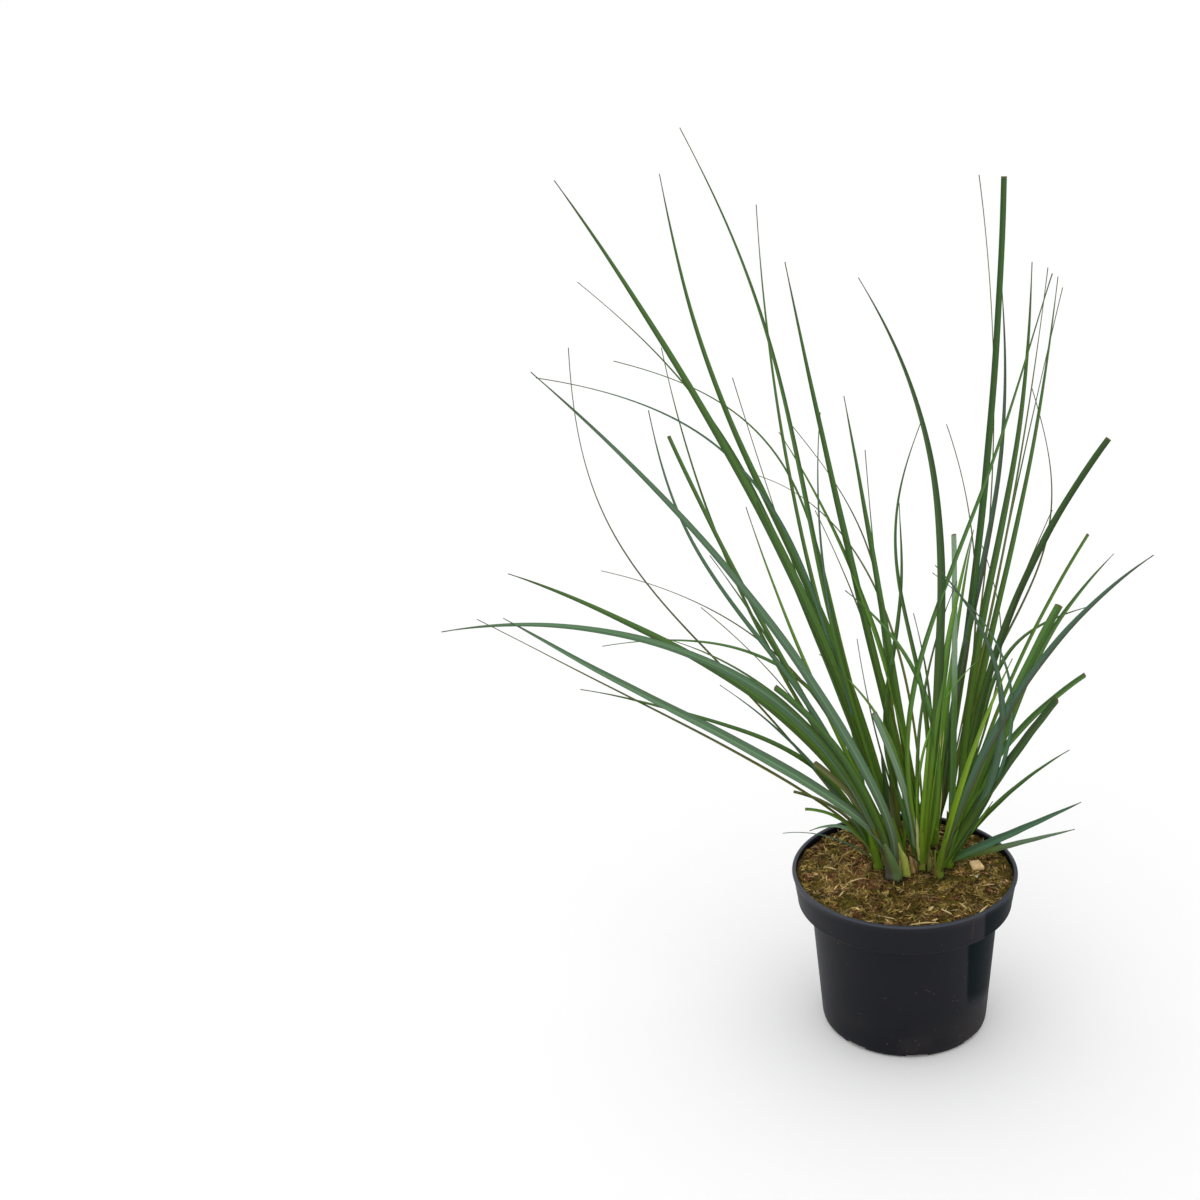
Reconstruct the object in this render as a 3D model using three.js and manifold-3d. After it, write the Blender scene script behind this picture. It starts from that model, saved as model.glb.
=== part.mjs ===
// A young pampas grass plant in its round black nursery pot.
// Millimetres, +Z up. The origin is the centre of the pot's base, -Y is the front.
import * as THREE from 'three';
import { mergeVertices } from 'three/addons/utils/BufferGeometryUtils.js';
import Module from 'manifold-3d';

const wasm = await Module();
wasm.setup();

// ---- driving dimensions ----
const POT_HEIGHT = 145;
const POT_TOP_RADIUS = 95;
const POT_BASE_RADIUS = 71;
const POT_WALL = 1.4;
const POT_SIDES = 48;
const POT_FLOOR = 1.8;
const BASE_CORNER = 6;
const BASE_BEVEL = 1.8;
const COLLAR_HEIGHT = 29;
const COLLAR_FOOT_RADIUS = 90.6;
const WALL_TOP_RADIUS = 79.5;
const LEDGE = POT_HEIGHT - COLLAR_HEIGHT;
const LEDGE_ROUND = 1.8;
const LEDGE_LIFT = 0.4;
const LIP_HEIGHT = 3;
const LIP_OUT = 1;
const LIP_ROUND = 0.7;
const LIP_INSIDE = 2;
const SLOT_COUNT = 8;
const SLOT_TURN = THREE.MathUtils.degToRad(9);
const SLOT_WIDTH = 20;
const SLOT_DEPTH = 14;
const SLOT_HEIGHT = 3.6;

const SOIL_LEVEL = 139;
const SOIL_RELIEF = 0.55;
const SOIL_RINGS = 7;
const SOIL_SIDES = 36;
const SOIL_SHOULDER = 2.2;
const SOIL_LEDGE_GAP = 0.6;
const SOIL_BRIM_GAP = 0.5;
const GAP = 0.35;

// The shoots are measured from CROWN_LEVEL, a little under the top of the soil.
const CROWN_X = 10;
const CROWN_LEVEL = 135;
const STEM_SUNK = 15;
const STEM_SIDES = 8;
const STEM_FLATNESS = 0.68;
const STEM_TOP = 48;
const STEM_WAIST = 26;
const LEAF_START = 10;
const ROOT_SPREAD = 0.12;
const HOLE_CLEARANCE = 3 * GAP;
const HOLE_ABOVE = 8;

const LEAF_STEP = 75;
const LEAF_STEPS_LEAST = 3;
const LEAF_STEPS_MOST = 12;
const LEAF_LEAST_THICKNESS = 0.8;
const LEAF_THICKNESS_SHARE = 0.13;
const LEAF_FOLD = 0.28;
const LEAF_FOOT_SHARE = 0.85;
const LEAF_FOOT_LENGTH = 0.28;
const LEAF_TAPER = 0.65;
const LEAF_TAPER_POWER = 0.65;
const LEAF_CUT_TAPER = 0.3;
const LEAF_TIP_WIDTH = 0.9;
const LEAF_TWIST = THREE.MathUtils.degToRad(24);
const TWIST_RHYTHM = 2.4;
const LEAF_FACING = new THREE.Vector3(0, -0.71, 0.71);
const CLING_POWER = 8;
const TANGENT_STEP = 0.01;

// How a leaf ends: drawn out to a point, or cut across.
const POINT = 0;
const CUT = 1;

// Every leafy shoot keeps its leaves on one shallow cone round the crown, y = depth + sweep * r,
// where r is the distance from the crown in the XZ view. The cones nest from front to back,
// so leaves of different shoots pass one another clear.
// A leaf is [x, z of its place halfway along, x, z of its tip, width, end, snake, cling]. It starts
// inside the shoot's stem. One that snakes bends that far to the right in its lower half and
// as far to the left in its upper half, or the other way round if the number is below zero.
// One that clings stands that far to the right of its line near the foot, where its stem holds it.
const SHOOTS = [
  {
    name: 'shoot_front_left', x: -8.5, depth: 2, sweep: -0.52, stem: 14, lean: -8,
    leaves: [
      [-84, 417, -230, 675, 8, POINT, 0, 7],
      [-151, 345, -278, 475, 9, POINT, 6, 12],
      [-130, 400, -320, 470, 7.5, POINT, 5],
      [-73, 333, -170, 438, 4, POINT],
      [-42, 279, -96, 378, 7, CUT],
      [-32, 225, -70, 290, 6.5, CUT],
      [-8.5, 158, -9.5, 173, 8, CUT],
    ],
  },
  {
    name: 'shoot_front_right', x: 29, depth: 6, sweep: -0.43, stem: 8, lean: 5,
    leaves: [
      [75, 325, 22, 479, 6, POINT],
      [82, 335, 20, 472, 3, POINT],
      [78, 270, 115, 351, 9.5, CUT],
      [86, 355, 171, 495, 7, POINT],
      [52, 280, 80, 390, 5, POINT],
      [38, 172, 45, 200, 5.5, POINT],
    ],
  },
  {
    name: 'shoot_front', x: 15.5, depth: 10, sweep: -0.34, stem: 6, lean: 0,
    leaves: [
      [1.5, 227, -24, 317, 7.5, CUT, 0, -3],
      [27, 458, -30, 700, 7, POINT, -5],
      [27, 292, 37, 410, 4.5, POINT],
      [16, 278, 57, 373, 2.5, POINT],
      [21, 315, -44, 440, 5.5, POINT],
      [13, 310, 39, 448, 3, POINT],
      [26, 428, 95, 700, 4, POINT, -11],
      [26, 325, 49, 492, 7.5, POINT],
      [3, 190, -6, 240, 7, POINT],
      [13, 176, 10.5, 205, 8, POINT],
    ],
  },
  {
    name: 'shoot_left', x: -22, depth: 14, sweep: -0.25, stem: 8, lean: -9,
    leaves: [
      [-115, 284, -256, 344, 4.5, POINT, 8],
      [-170, 297, -329, 416, 2.5, POINT, 4, 8],
      [-138, 345, -301, 455, 8, POINT, 7, 6],
      [-75, 254, -146, 339, 3.5, POINT],
      [-48, 197, -91, 227, 3.5, CUT],
      [-48, 190, -82, 208, 3.5, CUT],
      [-61, 176, -101, 185, 1.5, POINT],
      [-45, 183, -79, 185, 4.5, POINT],
      [-113, 382, -184, 588, 4.5, POINT, 13],
      [-27, 172, -36, 196, 6, POINT],
    ],
  },
  {
    name: 'shoot_right', x: 38, depth: 18, sweep: -0.17, stem: 8, lean: 8,
    leaves: [
      [89, 178, 144, 215, 7.5, POINT],
      [90, 167, 140, 188, 5.5, POINT],
      [75, 252, 142, 337, 7.5, CUT],
      [75, 278, 119, 401, 9, CUT],
      [80, 316, 138, 464, 3.5, CUT],
      [50, 172, 60, 202, 8, POINT],
      [40, 306, 37.5, 463, 6, CUT],
    ],
  },
  {
    name: 'shoot_middle_left', x: -3, depth: 22, sweep: -0.08, stem: 9, lean: -7,
    leaves: [
      [-117, 480, -256, 742, 8, POINT, 2.5],
      [-79, 495, -161, 777, 4.5, POINT, -9],
      [-106, 353, -182, 537, 4.5, CUT],
      [-57, 362, -64, 554, 3, POINT],
      [-71, 307, -124, 475, 4, POINT],
      [-58, 318, -115, 479, 4, POINT],
      [-10, 255, -69, 342, 4, POINT],
      [-8, 180, -13, 212, 7, POINT],
      [-12, 195, -19, 245, 8, POINT],
    ],
  },
  {
    name: 'shoot_middle', x: 16, depth: 26, sweep: 0.01, stem: 8, lean: -3,
    leaves: [
      [-44, 420, -91, 662, 6.5, POINT],
      [-24, 352, -99, 525, 5, POINT],
      [-16, 361, -47, 554, 6.5, POINT],
      [-12, 311, -4, 464, 5, POINT, -10],
      [3, 242, 14, 334, 4.5, POINT],
      [4, 352, 14, 534, 4, POINT, 13],
      [-20, 382, -119, 489, 2.2, POINT],
      [10, 185, 2, 232, 8, POINT],
      [22, 190, 24, 240, 7, POINT],
    ],
  },
  {
    name: 'shoot_middle_right', x: 45, depth: 30, sweep: 0.1, stem: 9, lean: 6,
    leaves: [
      [74, 406, 99, 645, 6.5, POINT, -6],
      [81, 340, 162, 503, 7, CUT],
      [96, 285, 169, 407, 8, POINT, 4],
      [87, 195, 138, 235, 4.5, POINT],
      [60, 165, 75, 189, 3.5, POINT],
      [71, 300, 119, 445, 3.5, POINT],
      [56, 175, 66, 205, 8, POINT],
    ],
  },
  {
    name: 'shoot_back_left', x: -28, depth: 34, sweep: 0.19, stem: 7, lean: -6,
    leaves: [
      [-96, 293, -264, 307, 4, POINT],
      [-100, 301, -262, 376, 2, POINT],
      [-83, 255, -174, 348, 1.5, POINT],
      [-195, 336, -283, 569, 2, POINT, 16],
      [-86, 272, -165, 394, 3.5, POINT],
      [-97, 412, -313, 543, 3.2, POINT, -12],
      [-38, 180, -52, 215, 7, POINT],
    ],
  },
  {
    name: 'shoot_back', x: -6, depth: 38, sweep: 0.28, stem: 8, lean: -6,
    leaves: [
      [-112, 420, -207, 700, 7, POINT, 11],
      [-108, 397, -282, 611, 3.5, POINT, -10],
      [-76, 400, -251, 545, 2.6, POINT, -19],
      [-133, 335, -208, 557, 3.5, POINT],
      [-87, 402, -124, 674, 4, POINT],
      [-80, 336, -146, 533, 1.5, POINT],
      [-10, 205, -16, 262, 8, POINT],
    ],
  },
  {
    name: 'shoot_back_right', x: 26, depth: 42, sweep: 0.36, stem: 8, lean: 4,
    leaves: [
      [66, 411, 84, 682, 7, CUT],
      [66, 366, 82, 600, 6, POINT, -7],
      [61, 325, 36, 485, 2, POINT],
      [38, 268, 59, 399, 5.5, POINT],
      [82, 369, 121, 608, 2.5, POINT],
      [73, 411, 63, 684, 1.5, POINT],
      [30, 196, 34, 246, 7, POINT],
      [35, 200, 39, 250, 8, POINT],
    ],
  },
  {
    name: 'shoot_far_left', x: 8, depth: 45.5, sweep: 0.44, stem: 6, lean: -2,
    leaves: [
      [-16, 289, -34, 456, 2.5, POINT],
      [-16, 308, -98, 474, 2.5, POINT, -11],
      [-18, 270, -78, 406, 2.5, POINT],
      [-20, 212, -41, 303, 2, POINT],
      [24, 225, 8, 325, 3.5, POINT],
      [26, 214, 40, 303, 4.5, POINT],
      [2, 178, -6, 206, 7, POINT],
    ],
  },
  {
    name: 'shoot_far_right', x: 40, depth: 49, sweep: 0.51, stem: 7, lean: 4,
    leaves: [
      [90, 354, 135, 583, 5.5, POINT, -3],
      [83, 351, 139, 574, 2, POINT],
      [97, 312, 112, 494, 2.5, POINT, -19],
      [74, 254, 166, 315, 5, POINT, 10],
      [78, 250, 68, 371, 2, POINT, -5],
    ],
  },
];

// Cut-off sheaths with no leaf left: x, y, width, height above the crown's level, lean of the top.
const STUBS = [
  { name: 'cut_sheath_green', x: 3.5, y: -4.2, width: 8, height: 36, lean: -6.5, colour: 0x8fa83c },
  { name: 'cut_sheath_dry', x: 9.5, y: 0.3, width: 7.5, height: 19, lean: -2.5, colour: 0xa8763f },
  { name: 'cut_sheath_small', x: 21.8, y: 5, width: 4.6, height: 22, lean: 0, colour: 0x6f8f35 },
];

// A stem: height above the crown's level, share of the lean, share of the width.
const STEM_SHAPE = [
  [-STEM_SUNK, 0, 0.8],
  [0, 0, 1],
  [LEAF_START, 0, 0.96],
  [STEM_WAIST, 0.45, 0.78],
  [STEM_TOP, 1, 0.3],
];
// A cut sheath above its sunken foot: share of the height, of the lean, of the width.
const STUB_SHAPE = [
  [0, 0, 1],
  [0.6, 0.4, 0.95],
  [1, 1, 0.7],
];
const SUNK_SHARE = 0.8;

// The soil's low waves: share of the relief, turns along x, turns along y (radians a millimetre), phase.
const SOIL_WAVES = [
  [1, 0.21, 0.17, 0.5],
  [0.6, 0.33, -0.29, 0],
  [0.4, 0.11, 0.47, 3.6],
];

const CHIP = { x: 61, y: 11, long: 13, broad: 10, thick: 3, turn: 0.3 };

const GREEN = 0x3f6b2f;
const material = (color, roughness) => new THREE.MeshStandardMaterial({ color, roughness, metalness: 0 });

// ---- solids ----
function toSolid(geometry) {
  const bare = geometry.clone();
  bare.deleteAttribute('normal');
  bare.deleteAttribute('uv');
  const merged = mergeVertices(bare, 1e-4);
  return new wasm.Manifold(new wasm.Mesh({
    numProp: 3,
    vertProperties: Float32Array.from(merged.attributes.position.array),
    triVerts: Uint32Array.from(merged.index.array),
  }));
}

function toGeometry(solid) {
  const mesh = solid.getMesh();
  const geometry = new THREE.BufferGeometry();
  geometry.setAttribute('position', new THREE.BufferAttribute(Float32Array.from(mesh.vertProperties), 3));
  geometry.setIndex(new THREE.BufferAttribute(Uint32Array.from(mesh.triVerts), 1));
  geometry.computeVertexNormals();
  return geometry;
}

// A closed skin over rows of points that each run once round a section. Neighbouring columns
// are split along opposite diagonals, so a thin leaf's two faces are split alike.
function skin(rows) {
  const around = rows[0].length;
  const points = rows.flat();
  const faces = [];
  for (let i = 0; i + 1 < rows.length; i += 1) {
    for (let j = 0; j < around; j += 1) {
      const a = i * around + j;
      const b = i * around + (j + 1) % around;
      const c = b + around;
      const d = a + around;
      if (j % 2 === 0) faces.push(a, b, c, a, c, d);
      else faces.push(a, b, d, b, c, d);
    }
  }
  const last = (rows.length - 1) * around;
  for (let j = 1; j + 1 < around; j += 1) {
    faces.push(0, j + 1, j);
    faces.push(last, last + j, last + j + 1);
  }
  const geometry = new THREE.BufferGeometry();
  geometry.setAttribute('position', new THREE.Float32BufferAttribute(points.flatMap((p) => p.toArray()), 3));
  geometry.setIndex(faces);
  return geometry;
}

// ---- the pot ----
// Outer wall up, over the lip, then down inside.
function potProfile() {
  const lipInside = POT_TOP_RADIUS - LIP_ROUND - POT_WALL;
  return [
    [0, 0],
    [POT_BASE_RADIUS - BASE_CORNER, 0],
    [POT_BASE_RADIUS - BASE_BEVEL, BASE_BEVEL],
    [POT_BASE_RADIUS, BASE_CORNER],
    [WALL_TOP_RADIUS, LEDGE - LEDGE_ROUND],
    [COLLAR_FOOT_RADIUS - LEDGE_ROUND, LEDGE - LEDGE_LIFT],
    [COLLAR_FOOT_RADIUS, LEDGE + LEDGE_ROUND],
    [POT_TOP_RADIUS - LIP_OUT, POT_HEIGHT - LIP_HEIGHT - LIP_OUT],
    [POT_TOP_RADIUS, POT_HEIGHT - LIP_HEIGHT],
    [POT_TOP_RADIUS, POT_HEIGHT - LIP_ROUND],
    [POT_TOP_RADIUS - LIP_ROUND, POT_HEIGHT],
    [lipInside, POT_HEIGHT],
    [lipInside - LIP_ROUND / 2, POT_HEIGHT - LIP_INSIDE],
    [COLLAR_FOOT_RADIUS - POT_WALL, LEDGE + LEDGE_ROUND],
    [WALL_TOP_RADIUS - POT_WALL, LEDGE],
    [POT_BASE_RADIUS - POT_WALL, BASE_CORNER],
    [POT_BASE_RADIUS - BASE_CORNER, POT_FLOOR],
    [0, POT_FLOOR],
  ];
}

function lathe(profile, sides) {
  const turned = new THREE.LatheGeometry(profile.map(([r, z]) => new THREE.Vector2(r, z)), sides);
  return turned.rotateX(Math.PI / 2);
}

// Even spacing round the base, with the first slot a little right of the front.
function drainSlots() {
  return Array.from({ length: SLOT_COUNT }, (_, k) => {
    const slot = new THREE.BoxGeometry(SLOT_DEPTH, SLOT_WIDTH, 2 * SLOT_HEIGHT);
    slot.translate(POT_BASE_RADIUS, 0, 0);
    return toSolid(slot.rotateZ(SLOT_TURN - Math.PI / 2 + (2 * Math.PI * k) / SLOT_COUNT));
  });
}

function potGeometry() {
  return toGeometry(toSolid(lathe(potProfile(), POT_SIDES)).subtract(wasm.Manifold.union(drainSlots())));
}

// ---- the leaves ----
function depthAt(shoot, x, z) {
  return shoot.depth + shoot.sweep * Math.hypot(x - CROWN_X, z - CROWN_LEVEL);
}

// The parabola that passes its three places at t = 0, 1/2 and 1.
function through(root, halfway, tip, t) {
  return root * (1 - t) * (1 - 2 * t) + 4 * halfway * t * (1 - t) + tip * t * (2 * t - 1);
}

// A rise near the foot that is 1 at its highest and has died out by halfway.
function clingAt(t) {
  const highest = CLING_POWER ** CLING_POWER / (CLING_POWER + 1) ** (CLING_POWER + 1);
  return (t * (1 - t) ** CLING_POWER) / highest;
}

function leafPoint(shoot, leaf, t) {
  const [halfX, halfZ, tipX, tipZ, , , snake = 0, cling = 0] = leaf;
  const rootX = shoot.x + ROOT_SPREAD * shoot.stem * Math.sin(TWIST_RHYTHM * shoot.leaves.indexOf(leaf));
  const rootZ = CROWN_LEVEL + LEAF_START;
  const reach = Math.hypot(tipX - rootX, tipZ - rootZ);
  const bend = (snake * Math.sin(2 * Math.PI * t) + cling * clingAt(t)) / reach;
  const x = through(rootX, halfX, tipX, t) + bend * (tipZ - rootZ);
  const z = through(rootZ, halfZ, tipZ, t) - bend * (tipX - rootX);
  return new THREE.Vector3(x, depthAt(shoot, x, z), z);
}

// Narrower where it leaves the stem, widest below the middle, drawn out to the tip unless cut.
function leafWidth(width, end, t) {
  const foot = THREE.MathUtils.lerp(LEAF_FOOT_SHARE, 1, Math.min(1, t / LEAF_FOOT_LENGTH));
  const point = Math.min(1, (1 - t) / LEAF_TAPER) ** LEAF_TAPER_POWER;
  const taper = end === CUT ? 1 - LEAF_CUT_TAPER * t : point;
  return Math.max(LEAF_TIP_WIDTH, width * foot * taper);
}

function leafGeometry(shoot, leaf, order) {
  const [, , tipX, tipZ, width, end] = leaf;
  const reach = Math.hypot(tipX - shoot.x, tipZ - CROWN_LEVEL);
  const steps = THREE.MathUtils.clamp(Math.round(reach / LEAF_STEP), LEAF_STEPS_LEAST, LEAF_STEPS_MOST);
  const twist = LEAF_TWIST * Math.sin(TWIST_RHYTHM * order);
  const rows = [];
  for (let i = 0; i <= steps; i += 1) {
    const t = i / steps;
    const centre = leafPoint(shoot, leaf, t);
    const ahead = leafPoint(shoot, leaf, t + TANGENT_STEP);
    const along = ahead.sub(leafPoint(shoot, leaf, t - TANGENT_STEP)).normalize();
    const up = LEAF_FACING.clone().addScaledVector(along, -LEAF_FACING.dot(along)).normalize();
    up.applyAxisAngle(along, twist * t);
    const side = new THREE.Vector3().crossVectors(up, along);
    const wide = leafWidth(width, end, t);
    const thick = Math.max(LEAF_LEAST_THICKNESS, LEAF_THICKNESS_SHARE * wide);
    const edge = centre.clone().addScaledVector(up, LEAF_FOLD * wide / 2);
    rows.push([
      edge.clone().addScaledVector(side, -wide / 2),
      centre.clone().addScaledVector(up, -thick / 2),
      edge.clone().addScaledVector(side, wide / 2),
      centre.clone().addScaledVector(up, thick / 2),
    ]);
  }
  return skin(rows);
}

// An oval section, flatter from front to back.
function oval(centre, width) {
  return Array.from({ length: STEM_SIDES }, (_, k) => {
    const angle = (2 * Math.PI * (k + 0.5)) / STEM_SIDES;
    const reach = new THREE.Vector3(Math.cos(angle), STEM_FLATNESS * Math.sin(angle), 0);
    return centre.clone().addScaledVector(reach, width / 2);
  });
}

function stemGeometry(shoot) {
  const foot = leafPoint(shoot, shoot.leaves[0], 0);
  return skin(STEM_SHAPE.map(([up, lean, share]) => {
    const x = shoot.x + lean * shoot.lean;
    const z = CROWN_LEVEL + up;
    const y = up > LEAF_START ? depthAt(shoot, x, z) : foot.y;
    return oval(new THREE.Vector3(x, y, z), share * shoot.stem);
  }));
}

function shootGeometry(shoot) {
  const leaves = shoot.leaves.map((leaf, order) => toSolid(leafGeometry(shoot, leaf, order)));
  return toGeometry(wasm.Manifold.union([toSolid(stemGeometry(shoot)), ...leaves]));
}

function stubGeometry(stub) {
  const sunk = oval(new THREE.Vector3(stub.x, stub.y, CROWN_LEVEL - STEM_SUNK), SUNK_SHARE * stub.width);
  const above = STUB_SHAPE.map(([rise, lean, share]) => oval(
    new THREE.Vector3(stub.x + lean * stub.lean, stub.y, CROWN_LEVEL + rise * stub.height),
    share * stub.width,
  ));
  return skin([sunk, ...above]);
}

// ---- the soil ----
function soilHeight(x, y) {
  const waves = SOIL_WAVES.reduce((sum, [share, alongX, alongY, phase]) => (
    sum + share * Math.sin(alongX * x + alongY * y + phase)), 0);
  return SOIL_LEVEL + SOIL_RELIEF * waves;
}

function hole(x, y, width) {
  const ends = [CROWN_LEVEL - STEM_SUNK - GAP, SOIL_LEVEL + HOLE_ABOVE];
  return toSolid(skin(ends.map((z) => oval(new THREE.Vector3(x, y, z), width + HOLE_CLEARANCE))));
}

// The radius at which the soil meets the collar's inner face, which widens upwards.
function soilBrim() {
  const top = [POT_TOP_RADIUS - LIP_OUT, POT_HEIGHT - LIP_HEIGHT - LIP_OUT];
  const foot = [COLLAR_FOOT_RADIUS, LEDGE + LEDGE_ROUND];
  const slope = (top[0] - foot[0]) / (top[1] - foot[1]);
  return foot[0] - POT_WALL - GAP - SOIL_BRIM_GAP + slope * (SOIL_LEVEL - foot[1]);
}

function soilGeometry() {
  const inner = POT_WALL + GAP;
  const wall = [
    [POT_BASE_RADIUS - BASE_CORNER - GAP, POT_FLOOR + GAP],
    [POT_BASE_RADIUS - inner, BASE_CORNER],
    [WALL_TOP_RADIUS - inner - GAP / 2, LEDGE + SOIL_LEDGE_GAP],
    [COLLAR_FOOT_RADIUS - inner - GAP, LEDGE + SOIL_SHOULDER],
  ];
  const ring = (radius, height) => Array.from({ length: SOIL_SIDES }, (_, k) => {
    const angle = (2 * Math.PI * k) / SOIL_SIDES;
    const x = radius * Math.cos(angle);
    const y = radius * Math.sin(angle);
    return new THREE.Vector3(x, y, height ?? soilHeight(x, y));
  });
  const brim = soilBrim();
  const top = Array.from({ length: SOIL_RINGS }, (_, k) => ring(brim * (1 - k / SOIL_RINGS)));
  const rows = [...wall.map(([r, z]) => ring(r, z)), ...top];
  const stems = SHOOTS.map((shoot) => {
    const foot = leafPoint(shoot, shoot.leaves[0], 0);
    return hole(shoot.x, foot.y, shoot.stem);
  });
  const stubs = STUBS.map((stub) => hole(stub.x, stub.y, stub.width));
  return toGeometry(toSolid(skin(rows)).subtract(wasm.Manifold.union([...stems, ...stubs])));
}

// A loose chip of wood that lies on the highest soil under it.
function chipGeometry() {
  const chip = new THREE.BoxGeometry(CHIP.broad, CHIP.long, CHIP.thick);
  const spots = [-0.5, -0.25, 0, 0.25, 0.5];
  const under = spots.flatMap((u) => spots.map((v) => (
    soilHeight(CHIP.x + u * CHIP.broad, CHIP.y + v * CHIP.long))));
  const rest = Math.max(...under) + GAP + CHIP.thick / 2;
  return chip.rotateZ(CHIP.turn).translate(CHIP.x, CHIP.y, rest);
}

// ---- the scene ----
const plant = new THREE.Group();

function addPart(name, geometry, look) {
  const mesh = new THREE.Mesh(geometry, look);
  mesh.name = name;
  plant.add(mesh);
}

addPart('pot', potGeometry(), material(0x24252a, 0.55));
addPart('soil', soilGeometry(), material(0x5a4a2c, 0.95));
addPart('wood_chip', chipGeometry(), material(0xc3a272, 0.8));
SHOOTS.forEach((shoot) => addPart(shoot.name, shootGeometry(shoot), material(GREEN, 0.6)));
STUBS.forEach((stub) => addPart(stub.name, stubGeometry(stub), material(stub.colour, 0.75)));

export default plant;
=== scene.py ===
"""A young pampas grass plant with long arching leaves, in its round black nursery pot."""
import math

import bpy
import numpy as np
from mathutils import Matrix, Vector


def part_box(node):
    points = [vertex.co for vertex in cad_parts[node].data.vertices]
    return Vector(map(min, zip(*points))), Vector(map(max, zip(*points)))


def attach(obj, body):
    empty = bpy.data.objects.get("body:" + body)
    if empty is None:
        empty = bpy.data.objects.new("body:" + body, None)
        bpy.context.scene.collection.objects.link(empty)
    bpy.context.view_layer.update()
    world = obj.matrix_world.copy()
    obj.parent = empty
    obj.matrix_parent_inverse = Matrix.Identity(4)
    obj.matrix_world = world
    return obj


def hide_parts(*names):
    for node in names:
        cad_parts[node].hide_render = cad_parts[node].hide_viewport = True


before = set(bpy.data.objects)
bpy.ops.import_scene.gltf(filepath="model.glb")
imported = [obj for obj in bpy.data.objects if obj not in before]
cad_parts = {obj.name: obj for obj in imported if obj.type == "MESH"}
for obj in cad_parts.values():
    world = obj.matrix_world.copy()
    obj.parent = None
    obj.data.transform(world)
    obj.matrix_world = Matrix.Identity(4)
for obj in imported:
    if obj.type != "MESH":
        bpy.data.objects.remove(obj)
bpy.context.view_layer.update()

# ---- camera and light ----
CAMERA_PLACE = (0.0, -1.463, 1.010)
CAMERA_TURN_DEG = (67.341, 3.414, 8.166)
CAMERA_LENS = 58.62
CAMERA_SENSOR = 36.0
STUDIO_LIGHT = 1.09
PLANT_MIDDLE = (0.0, 0.0, 0.35)

# ---- driving sizes in millimetres, as in the solids, with plain shares and angles ----
MM = 0.001
POT_HEIGHT = 145.0
POT_TOP_RADIUS = 95.0
POT_BASE_RADIUS = 71.0
POT_WALL = 1.4
COLLAR_HEIGHT = 29.0
COLLAR_FOOT_RADIUS = 90.6
WALL_TOP_RADIUS = 79.5
BASE_CORNER = 6.0
POT_FLOOR = 1.8
SLOT_COUNT = 8
SLOT_TURN_DEG = 9
SLOT_INNER_RADIUS = 64.0
SLOT_HEIGHT = 3.6
SLOT_HALF_WIDTH_DEG = 8
LEDGE = POT_HEIGHT - COLLAR_HEIGHT
SEAM_DEG = -53.0
SHEEN_WALL = 52.0
SHEEN_COLLAR = 65.0
POT_SHINE = 0.32

SOIL_LEVEL = 139.0
SOIL_RELIEF = 0.55
SOIL_GAP = 0.35
SOIL_ROUGHNESS = 1.1
# reach of the painted shade round the stems' feet, in millimetres
HOLLOW = 9.0
PATCH_REACH = 26.0
RIPPLE_WAVES = 14
RIPPLE_SPREAD = 3.8
RIPPLE_SHARE = 0.6
# The solids' low waves: share of the relief, turns along x, turns along y (radians a millimetre), phase.
SOIL_WAVES = [(1, 0.21, 0.17, 0.5), (0.6, 0.33, -0.29, 0.0), (0.4, 0.11, 0.47, 3.6)]
CROWN_X = 10.0
CROWN_LEVEL = 135.0
STEM_SUNK = 15.0
STEM_FLATNESS = 0.68
STEM_TOP = 48.0
STEM_WAIST = 26.0
LEAF_START = 10.0
ROOT_SPREAD = 0.12
LEAF_FOLD = 0.28
LEAF_FOOT_SHARE = 0.85
LEAF_FOOT_LENGTH = 0.28
LEAF_TAPER = 0.65
LEAF_TAPER_POWER = 0.65
LEAF_CUT_TAPER = 0.3
LEAF_TIP_WIDTH = 0.8
LEAF_THICKNESS = 0.5
SHEATH_THICKNESS = 0.45
CLING_POWER = 8
DRY_EDGE = 2.0
DRY_SHARE = 0.8
WARM_START = 300.0
WARM_FULL = 160.0
EDGE_WAVE = 0.04
EDGE_WAVE_RHYTHM = 31
LEAF_TWIST = math.radians(24)
TWIST_RHYTHM = 2.4
LEAF_FACING = np.array([0.0, -0.71, 0.71])

# ---- fineness ----
LEAF_ROWS = 72
LEAF_ACROSS = 9
LEAF_CROWDING = 1.5
POT_SIDES = 360
SOIL_SIDES = 300
SOIL_RINGS = 120

# How a leaf ends: drawn out to a point, or cut across.
POINT, CUT = 0, 1


def srgb(red, green, blue):
    """A display colour in 0 to 255 made linear: ((c + 0.055) / 1.055) ** 2.4, or c / 12.92 near black."""
    c = np.array([red, green, blue]) / 255
    return np.where(c > 0.04045, ((c + 0.055) / 1.055) ** 2.4, c / 12.92)
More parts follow.
